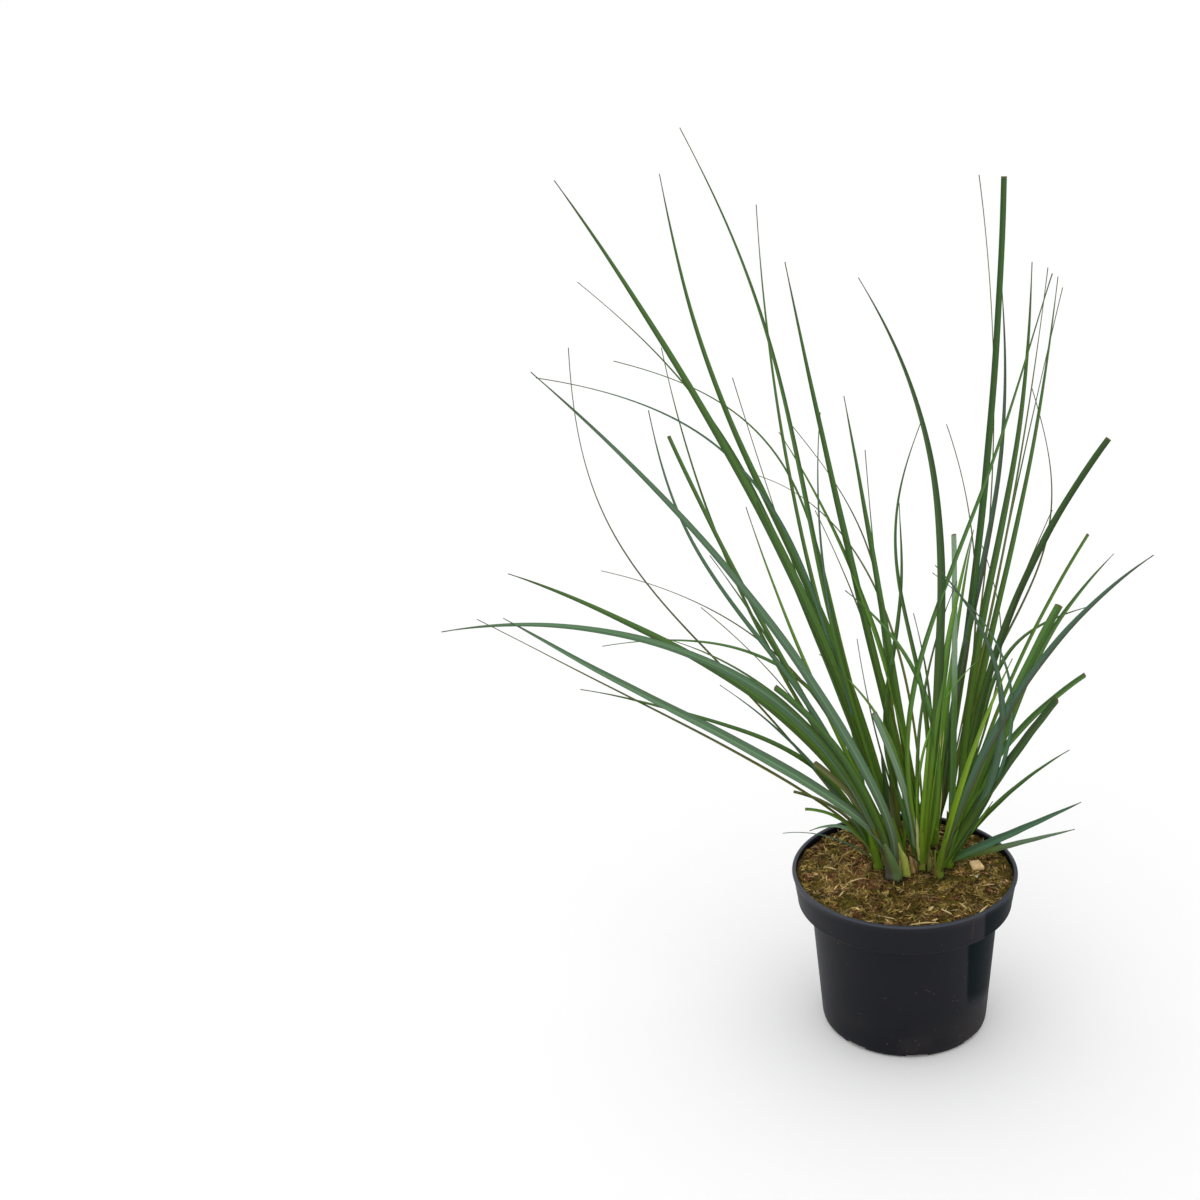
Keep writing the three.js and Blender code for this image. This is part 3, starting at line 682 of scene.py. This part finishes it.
def leaf_rings(shoot, leaf, order):
    """A blade's rings: a shallow V carried along its line, thick at the rib and thin at the edges.

    Across u from -1 to 1 the upper face stands fold * |u| ** 1.25 * width / 2 over the rib, and the lower
    face lies thickness * (0.35 + 0.65 * (1 - u * u)) under it. Edges wave by a slow sine.
    """
    reach = math.hypot(leaf[2] - shoot["x"], leaf[3] - CROWN_LEVEL)
    t = np.append(np.linspace(0, 1 - DRY_EDGE / reach, LEAF_ROWS - 1), 1.0)
    line = leaf_line(shoot, leaf, order, t)
    along = np.gradient(line, axis=0)
    along /= np.linalg.norm(along, axis=1, keepdims=True)
    up = LEAF_FACING - (along @ LEAF_FACING)[:, None] * along
    up /= np.linalg.norm(up, axis=1, keepdims=True)
    turn = (LEAF_TWIST * math.sin(TWIST_RHYTHM * order) * t)[:, None]
    up = up * np.cos(turn) + np.cross(along, up) * np.sin(turn)
    side = np.cross(up, along)
    wide = leaf_width(leaf[4], leaf[5], t)[:, None]
    u = np.linspace(1, -1, LEAF_ACROSS)
    u = np.sign(u) * np.abs(u) ** LEAF_CROWDING
    u = np.concatenate([u, u[-2:0:-1]])[None, :]
    lower = np.concatenate([np.zeros(LEAF_ACROSS), np.ones(LEAF_ACROSS - 2)])[None, :]
    wave = 1 + EDGE_WAVE * np.sin(EDGE_WAVE_RHYTHM * t[:, None] + order + 2 * u)
    thick = LEAF_THICKNESS * np.minimum(1, wide / 4) * (0.35 + 0.65 * (1 - u * u))
    lift = LEAF_FOLD * np.abs(u) ** 1.25 * wide / 2 - lower * thick
    rings = line[:, None] + side[:, None] * (u * wide * wave / 2)[..., None] + up[:, None] * lift[..., None]
    length = np.cumsum(np.r_[0, np.linalg.norm(np.diff(line, axis=0), axis=1)])
    uv = np.stack(np.broadcast_arrays(u * wide / 2, length[:, None]), -1) * MM
    return rings * MM, leaf_colour(shoot, leaf, order, t, length, u), uv


def leaf_colour(shoot, leaf, order, t, length, u):
    """A blade's colours: its stem's colour at the foot, yellower green low down, then its tone.

    One half is darker, as painted shade of the V fold. It can have a pale rib, pale stripes or a brown
    outer edge, and it ends in a dark tip or a dry line along the cut.
    """
    base, rib, rust, half = TONES[leaf[6]]
    rng = np.random.default_rng(1000 + order + int(abs(leaf[2])))
    base = base * rng.uniform(0.84, 1.16) * (1 + rng.uniform(-0.06, 0.06, 3))
    left = (length[-1] - length)[:, None, None]
    near_foot = ramp(length[:, None, None], WARM_START, WARM_FULL)
    t = t[:, None, None]
    u = np.broadcast_to(u[..., None], (len(t), u.shape[1], 1))

    def mix(a, b, share):
        return a + (b - a) * share

    colour = np.broadcast_to(base, (len(t), u.shape[1], 3))
    if leaf[6] not in ("cream", "sheath"):
        warm = base * [1.0, 0.94, 0.3] if leaf[6] not in ("blue", "ribbed", "striped", "plum") else base
        colour = mix(colour, warm, ramp(t, 0.55, 0.3) * near_foot)
        colour = mix(colour, STEMS[shoot["tone"]][1], 0.7 * ramp(t, 0.3, 0) ** 1.3)
    # painted shade: one half of the blade darker, the side of the V fold turned from the light
    colour = colour * (1 - half * ramp(u * (-1) ** order, -0.2, 0.2))
    colour = mix(colour, base * 2.0 + 0.04, rib * 0.7 * np.exp(-((u / 0.1) ** 2)) * (1 - 0.7 * t))
    if leaf[6] == "pale":
        colour = mix(colour, TONES["green"][0], ramp(t, 0.62, 0.5))
    if leaf[6] == "striped":
        colour = mix(colour, srgb(150, 172, 142), 0.55 * np.exp(-(((np.abs(u) - 0.38) / 0.12) ** 2)))
    outer = u * np.sign(CROWN_X - leaf[2])
    colour = mix(colour, srgb(92, 62, 44), rust * 0.8 * ramp(outer, 0.5, 0.8))
    if leaf[5] == CUT:
        return mix(colour, srgb(112, 96, 62), DRY_SHARE * ramp(left, DRY_EDGE, 0))
    return mix(colour, srgb(66, 68, 44), 0.6 * ramp(t, 0.88, 1))


def right_share(across):
    """How much of the flank's colour shows: 0 on the left, rising steeply to 0.85 right of the middle."""
    return 0.85 * ramp(across, -0.3, 0.1)


def stem_rings(shoot, centre_y):
    """The shoot's stem: ovals that narrow upwards and lean, with fine ribs of 2.5% round them."""
    up = np.linspace(-STEM_SUNK, STEM_TOP, 28)
    share = np.interp(up, [-STEM_SUNK, 0, LEAF_START, STEM_WAIST, STEM_TOP], [0.8, 1, 0.96, 0.78, 0.3])
    lean = np.interp(up, [LEAF_START, STEM_WAIST, STEM_TOP], [0, 0.45, 1]) * shoot["lean"]
    x = shoot["x"] + lean
    z = CROWN_LEVEL + up
    y = np.where(up > LEAF_START, depth_at(shoot, x, z), centre_y)
    angle = np.linspace(0, 2 * np.pi, 32, endpoint=False)
    rib = 1 + 0.025 * np.cos(9 * angle)
    radius = (share * shoot["stem"] / 2)[:, None] * rib
    rings = round_axis(x[:, None], y[:, None], z[:, None], radius, angle, STEM_FLATNESS)
    foot, head, flank = STEMS[shoot["tone"]]
    rise = ramp(up, 0, STEM_TOP / 2)[:, None, None]
    right = right_share(np.cos(angle))[None, :, None]
    colour = (foot + (head - foot) * rise) * (1 - right) + flank * right
    uv = np.stack(np.broadcast_arrays(radius * np.sin(angle), up[:, None]), -1) * MM
    return rings, colour, uv


def wrap_rings(x, y, width, foot, top, lean, open_deg, facing_deg, slant, seed):
    """A sheath wrapped round a stem: an open oval shell from foot to a torn, slanting top.

    Its section runs round the outside and back round the inside, SHEATH_THICKNESS in, with a gap of
    open_deg that faces facing_deg. The ragged top edge is higher by slant on the left.
    """
    rng = np.random.default_rng(seed)
    half = math.radians(360 - open_deg) / 2
    middle = math.radians(facing_deg + 180)
    angle = np.linspace(middle - half, middle + half, 22)
    ragged = rng.uniform(-1, 1, 22).cumsum() * 0.5
    height = (top - foot) * (1 - slant * np.cos(angle)) + ragged
    level = np.linspace(0, 1, 18)[:, None]
    z = CROWN_LEVEL + foot + level * height
    taper = 1 - 0.16 * level
    outside, inside = [
        round_axis(x + lean * level, y, z, (width / 2 - inset) * taper, angle, STEM_FLATNESS)
        for inset in (0.0, SHEATH_THICKNESS)
    ]
    rings = np.concatenate([outside, inside[:, ::-1]], 1)
    uv = np.stack([np.broadcast_to(angle * width / 2, z.shape), z], -1) * MM
    uv = np.concatenate([uv, uv[:, ::-1]], 1)
    return rings, level, uv


def add_forms(name, node, parts, finish):
    """Several (rings, colour, uv) forms as one piece, in place of a node and in that node's slot."""
    points, quads, fans, colours, uvs = [], [], [], [], []
    start = 0
    for rings, colour, uv in parts:
        p, q, f = skins(rings[None])
        points.append(p)
        quads.append(q + start)
        fans.append(f + start)
        colours.append(with_ends(np.broadcast_to(colour, rings.shape)[None]))
        uvs.append(with_ends(uv[None]))
        start += len(p)
    form = [np.concatenate(a) for a in (points, quads, fans)]
    add_piece(name, form, finish, node, np.concatenate(colours), np.concatenate(uvs))


def build_shoot(shoot, number, finish):
    """A shoot: its stem, two old sheaths round the stem's foot, and its leaves."""
    root_y = leaf_line(shoot, shoot["leaves"][0], 0, np.zeros(1))[0, 1]
    foot, head, flank = STEMS[shoot["tone"]]
    parts = [stem_rings(shoot, root_y)]
    for k, (top, open_deg) in enumerate([(24, 90), (14, 140)]):
        rings, level, uv = wrap_rings(
            shoot["x"], root_y, shoot["stem"] + 0.7 + 0.7 * k, -2, top, 0.0, open_deg,
            -90 + 130 * math.sin(3.1 * number + 2 * k), 0.18, 60 + 2 * number + k)
        dry = srgb(150, 128, 76) if (number + k) % 3 == 0 else (head + flank) * 0.6
        right = right_share((rings[..., 0] / MM - shoot["x"]) / (shoot["stem"] / 2))[..., None]
        body = foot * (1 - right) + flank * right
        parts.append((rings, body + (dry - body) * level[:, :, None] ** 3, uv))
    for order, leaf in enumerate(shoot["leaves"]):
        parts.append(leaf_rings(shoot, leaf, order))
    add_forms(shoot["name"] + "_leaves", shoot["name"], parts, finish)


def build_stub(stub, number, finish):
    """A cut-off sheath: a rolled shell with a torn top round a paler core."""
    name, x, y, width, height, lean, slant, facing, foot, head = stub
    parts = []
    for k, (share, drop, open_deg) in enumerate([(1.0, 0, 80), (0.62, 5, 30)]):
        rings, level, uv = wrap_rings(
            x, y, width * share, -STEM_SUNK + 1, height - drop, lean * 0.8, open_deg,
            facing + 140 * k, slant, 200 + 3 * number + k)
        parts.append((rings, (foot + (head * (1 + 0.3 * k) - foot) * level)[:, None], uv))
    add_forms(name + "_rolled", name, parts, finish)


# ---- the pot ----
def arc(centre, radius, start_deg, end_deg, steps):
    """Points on an arc in the section, from one angle to another."""
    a = np.radians(np.linspace(start_deg, end_deg, steps))
    return np.stack([centre[0] + radius * np.cos(a), centre[1] + radius * np.sin(a)], -1)


def line(a, b, steps):
    """Points from a up to, but not including, b."""
    return np.linspace(a, b, steps, endpoint=False)


def pot_profile():
    """The pot's section, radius and height: base, corner, wall, ledge, collar, lip, and back down inside.

    It also gives the rows between which a drain slot cuts the outer and the inner face.
    """
    outer_slot = np.array([
        [SLOT_INNER_RADIUS, 0], [POT_BASE_RADIUS - 5.0, 0], [POT_BASE_RADIUS - 3.2, 0.5],
        [POT_BASE_RADIUS - 1.8, 1.3], [POT_BASE_RADIUS - 1.2, 2.1], [POT_BASE_RADIUS - 0.7, 2.9],
        [POT_BASE_RADIUS - 0.45, SLOT_HEIGHT],
    ])
    inner_slot = outer_slot[::-1] * [1, 0] - [POT_WALL, 0]
    inner_slot[:, 1] = [3.6, 3.2, 2.8, 2.4, 2.1, 1.9, POT_FLOOR]
    inner_slot[-1, 0] = SLOT_INNER_RADIUS
    lip = POT_TOP_RADIUS
    top = POT_HEIGHT
    base = np.concatenate([[[4, 0]], line((10, 0), (SLOT_INNER_RADIUS, 0), 6)])
    outer = np.concatenate([
        base, outer_slot,
        line((POT_BASE_RADIUS, BASE_CORNER), (WALL_TOP_RADIUS - 0.3, LEDGE - 4), 22),
        arc((WALL_TOP_RADIUS + 2.3, LEDGE - 3.2), 2.6, 178, 100, 6),
        line((COLLAR_FOOT_RADIUS - 6, LEDGE - 0.5), (COLLAR_FOOT_RADIUS - 1.8, LEDGE - 0.4), 3),
        arc((COLLAR_FOOT_RADIUS - 1.8, LEDGE + 1.4), 1.8, -80, 0, 7),
        line((COLLAR_FOOT_RADIUS + 0.1, LEDGE + 3), (lip - 1.2, top - 5), 10),
        arc((lip - 1.6, top - 1.7), 1.6, -50, 90, 12),
    ])
    inside = np.concatenate([
        arc((lip - 2.4, top - 1.2), 1.1, 95, 185, 7),
        line((lip - POT_WALL - 1.6, top - 4), (COLLAR_FOOT_RADIUS - POT_WALL, LEDGE + 1.8), 10),
        line((COLLAR_FOOT_RADIUS - POT_WALL - 1, LEDGE + 0.8), (WALL_TOP_RADIUS - POT_WALL, LEDGE), 3),
        line((WALL_TOP_RADIUS - POT_WALL, LEDGE - 1), (POT_BASE_RADIUS - POT_WALL, BASE_CORNER), 12),
    ])
    floor = line((SLOT_INNER_RADIUS - 4, POT_FLOOR), (6, POT_FLOOR), 4)
    profile = np.concatenate([outer, inside, inner_slot, floor])
    return profile, len(base), len(outer) + len(inside), len(outer_slot) - 1


def build_pot(finish):
    """The pot: its section turned round the axis, opened by the drain slots, whose cut edges are bridged."""
    profile, outer, inner, steps = pot_profile()
    angle = np.linspace(0, 2 * np.pi, POT_SIDES, endpoint=False) + math.radians(SLOT_TURN_DEG - 90)
    rings = round_axis(0, 0, profile[:, 1:], profile[:, :1], angle)
    points, quads, fans = skins(rings[None])
    half = round(SLOT_HALF_WIDTH_DEG * POT_SIDES / 360)
    spacing = POT_SIDES // SLOT_COUNT
    offset = (np.arange(POT_SIDES) + half) % spacing
    cut = offset < 2 * half
    grid = quads.reshape(len(profile) - 1, POT_SIDES, 4)
    keep = np.ones(grid.shape[:2], bool)
    keep[outer:outer + steps, cut] = False
    keep[inner:inner + steps, cut] = False
    at = np.arange(len(profile) * POT_SIDES).reshape(len(profile), POT_SIDES)
    ahead = np.roll(at, -1, axis=1)
    high, low = outer + steps, inner + steps
    over = np.stack([at[high], at[inner], ahead[inner], ahead[high]], -1)[cut]
    under = np.stack([at[outer], ahead[outer], ahead[low], at[low]], -1)[cut]
    k = np.arange(steps)
    starts = np.flatnonzero(cut & (offset == 0))
    stops = np.flatnonzero(~cut & (offset == 2 * half))
    left = np.stack([at[outer + k], at[low - k], at[low - k - 1], at[outer + k + 1]], -1)[:, starts]
    right = np.stack([at[outer + k], at[outer + k + 1], at[low - k - 1], at[low - k]], -1)[:, stops]
    quads = np.concatenate([grid[keep], over, under, left.reshape(-1, 4), right.reshape(-1, 4)])
    add_piece("pot_shell", (points, quads, fans), finish, "pot")


# ---- the soil ----
def soil_height(x, y):
    """The bed's height in millimetres: the solids' low waves, and seeded ripples of 13 down to 2 mm."""
    waves = sum(share * np.sin(by_x * x + by_y * y + phase) for share, by_x, by_y, phase in SOIL_WAVES)
    return SOIL_LEVEL + SOIL_RELIEF * waves + SOIL_ROUGHNESS * ripples(x, y, 5, (13.0, 6.5, 3.4, 2.0))


def soil_brim():
    """The bed's outer radius, where it meets the collar's inner face."""
    slope = (POT_TOP_RADIUS - 1.0 - COLLAR_FOOT_RADIUS) / (COLLAR_HEIGHT - 5.8)
    return COLLAR_FOOT_RADIUS - POT_WALL - SOIL_GAP - 0.5 + slope * (SOIL_LEVEL - LEDGE - 1.8)


def build_soil(finish):
    """The bed: up the pot's inner wall, then rings inwards over the rough top."""
    inner = POT_WALL + SOIL_GAP
    wall = np.array([
        [POT_BASE_RADIUS - BASE_CORNER - SOIL_GAP, POT_FLOOR + SOIL_GAP],
        [POT_BASE_RADIUS - inner, BASE_CORNER],
        [WALL_TOP_RADIUS - inner - 0.2, LEDGE + 0.6],
        [COLLAR_FOOT_RADIUS - inner - 0.3, LEDGE + 2.2],
    ])
    radius = np.concatenate([wall[:, 0], soil_brim() * np.linspace(1, 0.004, SOIL_RINGS)])[:, None]
    angle = np.linspace(0, 2 * np.pi, SOIL_SIDES, endpoint=False)[None]
    x, y = radius * np.cos(angle), radius * np.sin(angle)
    z = soil_height(x, y)
    # painted shade round the stems' feet, kept in the tone attribute
    shade = np.repeat(painted_stem_shade(x, y)[..., None], 3, -1)
    z[:len(wall)] = wall[:, 1:]
    bed = skins(np.stack([x, y, z], -1)[None] * MM)
    add_piece("soil_bed", bed, finish, "soil", with_ends(shade[None]))


def painted_stem_shade(x, y):
    """Painted shade on the bed: 1, falling over HOLLOW millimetres to 0.25 round the stems' feet."""
    away = np.full(np.shape(x), np.inf)
    for shoot in SHOOTS:
        foot_y = depth_at(shoot, shoot["x"], CROWN_LEVEL + LEAF_START)
        away = np.minimum(away, np.hypot(x - shoot["x"], y - foot_y) - shoot["stem"] / 2)
    return 0.25 + 0.75 * ramp(away, 0, HOLLOW)


def scattered(rng, count, patch=None):
    """Seeded places over the bed, x and y in millimetres: spread evenly, or gathered in patches.

    With a patch (x, y, strength), four times as many are drawn, and those are kept that stand highest on
    seeded ripples of 26 and 12 mm, raised by strength within PATCH_REACH of the place given.
    """
    drawn = count if patch is None else 4 * count
    radius = (soil_brim() - 3) * np.sqrt(rng.uniform(0, 1, drawn))
    turn = rng.uniform(0, 2 * np.pi, drawn)
    x, y = radius * np.cos(turn), radius * np.sin(turn)
    if patch is None:
        return x, y
    height = ripples(x, y, int(rng.integers(1000)), (26.0, 12.0)) + rng.normal(0, 0.5, drawn)
    height += patch[2] * np.exp(-((x - patch[0]) ** 2 + (y - patch[1]) ** 2) / PATCH_REACH**2)
    kept = np.argsort(-height)[:count]
    return x[kept], y[kept]


def slivers(rng, x, y, length, width, turn, pitch, lift, rows=4):
    """Many thin slivers: a flat lens section, pointed at both ends, carried along a shallow seeded bow.

    Each lies straight across the bed at its own turn and pitch, at the bed's mean height under it plus its
    lift. Returns rings in metres.
    """
    s = np.linspace(-0.5, 0.5, rows)[None]
    bow = rng.uniform(-0.04, 0.04, (len(x), 1)) * length[:, None] * (1 - 4 * s * s)
    rise = np.abs(rng.normal(0, 0.02, (len(x), 1))) * length[:, None] * (1 - 4 * s * s)
    run = s * length[:, None]
    ct, st = np.cos(turn)[:, None], np.sin(turn)[:, None]
    px = x[:, None] + run * ct - bow * st
    py = y[:, None] + run * st + bow * ct
    limit = soil_brim() - 0.6
    pull = np.minimum(1, limit / np.hypot(px, py))
    px, py = px * pull, py * pull
    pz = (soil_height(px, py).mean(1) + lift)[:, None] + run * np.tan(pitch)[:, None] + rise
    wide = (width[:, None] * (0.25 + 0.75 * (1 - np.abs(2 * s)) ** 0.5))[..., None]
    across = np.array([-0.5, 0.0, 0.5, 0.0]) * wide
    above = np.array([0.0, -0.22, 0.0, 0.22]) * wide
    return np.stack([
        px[..., None] + across * st[..., None], py[..., None] - across * ct[..., None], pz[..., None] + above,
    ], -1) * MM


def add_slivers(name, rings, colours, finish):
    """One piece of many slivers, each of its own colour."""
    tone = with_ends(np.broadcast_to(colours[:, None, None], rings.shape))
    add_piece(name, skins(rings), finish, None, tone)


def build_fibres(finish):
    """Layers of loose fibre: a dark tangle, moss threads, tan and rust fibre on top, flat bark and straws."""
    layers = [
        # name, seed, count, patch, length, width, pitch, lift, colours
        ("fibre_dark", 11, 3600, None, (3.2, 1.3), (0.55, 0.18), 0.35, (-0.2, 0.6),
         [(42, 32, 10), (66, 50, 18), (88, 72, 28), (54, 48, 12)]),
        ("fibre_moss", 12, 5600, (0, -60, 0.6), (2.0, 0.7), (0.34, 0.10), 0.55, (0.0, 0.9),
         [(108, 98, 26), (86, 80, 20), (132, 116, 42), (66, 60, 16), (112, 88, 30)]),
        ("fibre_tan", 13, 3600, (-55, -10, 1.2), (4.8, 2.4), (0.8, 0.3), 0.28, (0.3, 1.6),
         [(160, 134, 72), (140, 114, 54), (188, 164, 104), (124, 98, 42), (112, 102, 36), (168, 144, 78)]),
        ("fibre_rust", 14, 1300, (-40, -8, 2.5), (4.4, 1.8), (0.75, 0.28), 0.25, (0.3, 1.4),
         [(144, 96, 62), (128, 78, 50), (166, 118, 88), (108, 70, 40)]),
        ("bark_flakes", 15, 760, (30, -50, 0.5), (3.8, 1.5), (1.8, 0.6), 0.30, (0.3, 1.5),
         [(152, 122, 76), (128, 102, 58), (182, 158, 108), (100, 78, 40), (146, 132, 68), (116, 108, 40)]),
    ]
    for name, seed, count, patch, length, width, pitch, lift, shades in layers:
        rng = np.random.default_rng(seed)
        x, y = scattered(rng, count, patch)
        rings = slivers(
            rng, x, y, np.abs(rng.normal(*length, count)) + 1.0, np.abs(rng.normal(*width, count)) + 0.12,
            rng.uniform(0, 2 * np.pi, count), rng.normal(0, pitch, count).clip(-0.7, 0.7),
            rng.uniform(*lift, count))
        shade = np.array([srgb(*c) for c in shades])[rng.integers(0, len(shades), count)]
        # random lighter and darker clumps of fibre, times painted shade round the stems' feet
        clump_and_painted_shade = np.clip(1.1 + 0.4 * ripples(x, y, 41, (13.0, 6.0)), 0.4, 1.8) * painted_stem_shade(x, y)
        add_slivers(name, rings, shade * (clump_and_painted_shade * rng.uniform(0.65, 1.35, count))[:, None], finish)
    build_straws(finish)


def build_straws(finish):
    """The longer pale straws, each a flat sliver with more rows, at the places in STRAWS."""
    rng = np.random.default_rng(21)
    x, y, length, width, turn = np.array(STRAWS, float).T
    rings = slivers(
        rng, x, y, length, 1.5 * width, np.radians(turn), np.zeros(len(x)), np.full(len(x), 3.0), rows=9)
    shade = srgb(214, 188, 132) * rng.uniform(0.8, 1.15, (len(x), 1))
    add_slivers("straws", rings, shade, finish)


def build_grit(finish):
    """White grit: small lumps, a sphere grid dented by seeded ripples, half sunk in the bed."""
    rng = np.random.default_rng(31)
    count = 8
    x, y = scattered(rng, count)
    size = rng.uniform(0.6, 1.5, count)
    lat = np.linspace(-0.47 * np.pi, 0.47 * np.pi, 7)[None, :, None]
    lon = np.linspace(0, 2 * np.pi, 10, endpoint=False)[None, None]
    dent = 1 + 0.16 * np.sin(3 * lon + x[:, None, None]) * np.cos(4 * lat + y[:, None, None])
    radius = size[:, None, None] * dent
    z = (soil_height(x, y) + 0.9)[:, None, None] + 0.8 * radius * np.sin(lat)
    rings = round_axis(x[:, None, None], y[:, None, None], z, radius * np.cos(lat), lon)
    add_slivers("white_grit", rings, np.tile(srgb(188, 184, 170), (count, 1)), finish)


def build_chip(finish):
    """The wood chip: a box-like superellipse section carried along its length, its ends split unevenly."""
    low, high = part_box("wood_chip")
    centre = np.array([CHIP["x"], CHIP["y"], (low.z + high.z) / 2 / MM])
    s = np.sin(np.linspace(-np.pi / 2, np.pi / 2, 26))
    angle = np.linspace(0, 2 * np.pi, 48, endpoint=False)
    power = 0.28
    broad = np.sign(np.cos(angle)) * np.abs(np.cos(angle)) ** power
    thick = np.sign(np.sin(angle)) * np.abs(np.sin(angle)) ** power
    full = (1 - np.abs(s) ** 14)[:, None] * 0.12 + 0.88
    grain = 1 + 0.02 * np.sin(7 * angle + 1) * np.cos(5 * s)[:, None]
    x = CHIP["broad"] / 2 * 0.97 * broad * full * grain * (1 - 0.08 * s)[:, None]
    z = CHIP["thick"] / 2 * 0.97 * thick * full * grain
    y = CHIP["long"] / 2 * (0.95 * s[:, None] + 0.04 * np.sin(2.5 * broad) * s[:, None] ** 5)
    ct, st = math.cos(CHIP["turn"]), math.sin(CHIP["turn"])
    local = np.stack([x * ct - y * st, x * st + y * ct, z], -1)
    rings = ((local + centre) * MM)[:, ::-1]
    add_piece("split_chip", skins(rings[None]), finish, "wood_chip")


# ---- camera, light and floor ----
def build_camera():
    data = bpy.data.cameras.new("camera")
    data.lens = CAMERA_LENS
    data.sensor_width = CAMERA_SENSOR
    camera = put("camera", data)
    camera.location = CAMERA_PLACE
    camera.rotation_euler = [math.radians(a) for a in CAMERA_TURN_DEG]
    bpy.context.scene.camera = camera


def add_light(name, place, size, power):
    """A soft white square light at a place, facing the middle of the plant."""
    data = bpy.data.lights.new(name, "AREA")
    data.size = size
    data.energy = power
    light = put(name, data)
    light.location = place
    way = np.array(PLANT_MIDDLE) - place
    light.rotation_euler = (math.atan2(math.hypot(way[0], way[1]), -way[2]), 0, math.atan2(-way[0], way[1]))


def build_studio():
    """A pale floor under even white light, a large soft light over the front and weaker ones at the sides."""
    half = 30.0
    mesh = bpy.data.meshes.new("floor")
    corners = [(-half, -half, 0), (half, -half, 0), (half, half, 0), (-half, half, 0)]
    mesh.from_pydata(corners, [], [(0, 1, 2, 3)])
    mesh.materials.append(floor_finish())
    floor = put("floor", mesh)
    world = bpy.data.worlds.new("studio")
    world.use_nodes = True
    background = world.node_tree.nodes["Background"]
    background.inputs["Color"].default_value = (1, 1, 1, 1)
    background.inputs["Strength"].default_value = STUDIO_LIGHT
    bpy.context.scene.world = world
    add_light("key", (-0.9, -1.6, 2.4), 1.6, 3)
    add_light("side_left", (-1.9, 0.2, 0.9), 1.2, 1.2)
    add_light("side_right", (1.9, 0.3, 0.8), 1.2, 0.4)
    bpy.context.scene.view_settings.view_transform = "Standard"


build_camera()
build_studio()
build_pot(pot_finish())
build_soil(soil_finish())
loose = fibre_finish()
build_fibres(loose)
build_grit(loose)
build_chip(chip_finish())
leaf = leaf_finish()
for number, shoot in enumerate(SHOOTS):
    build_shoot(shoot, number, leaf)
sheath = sheath_finish()
for number, stub in enumerate(STUBS):
    build_stub(stub, number, sheath)
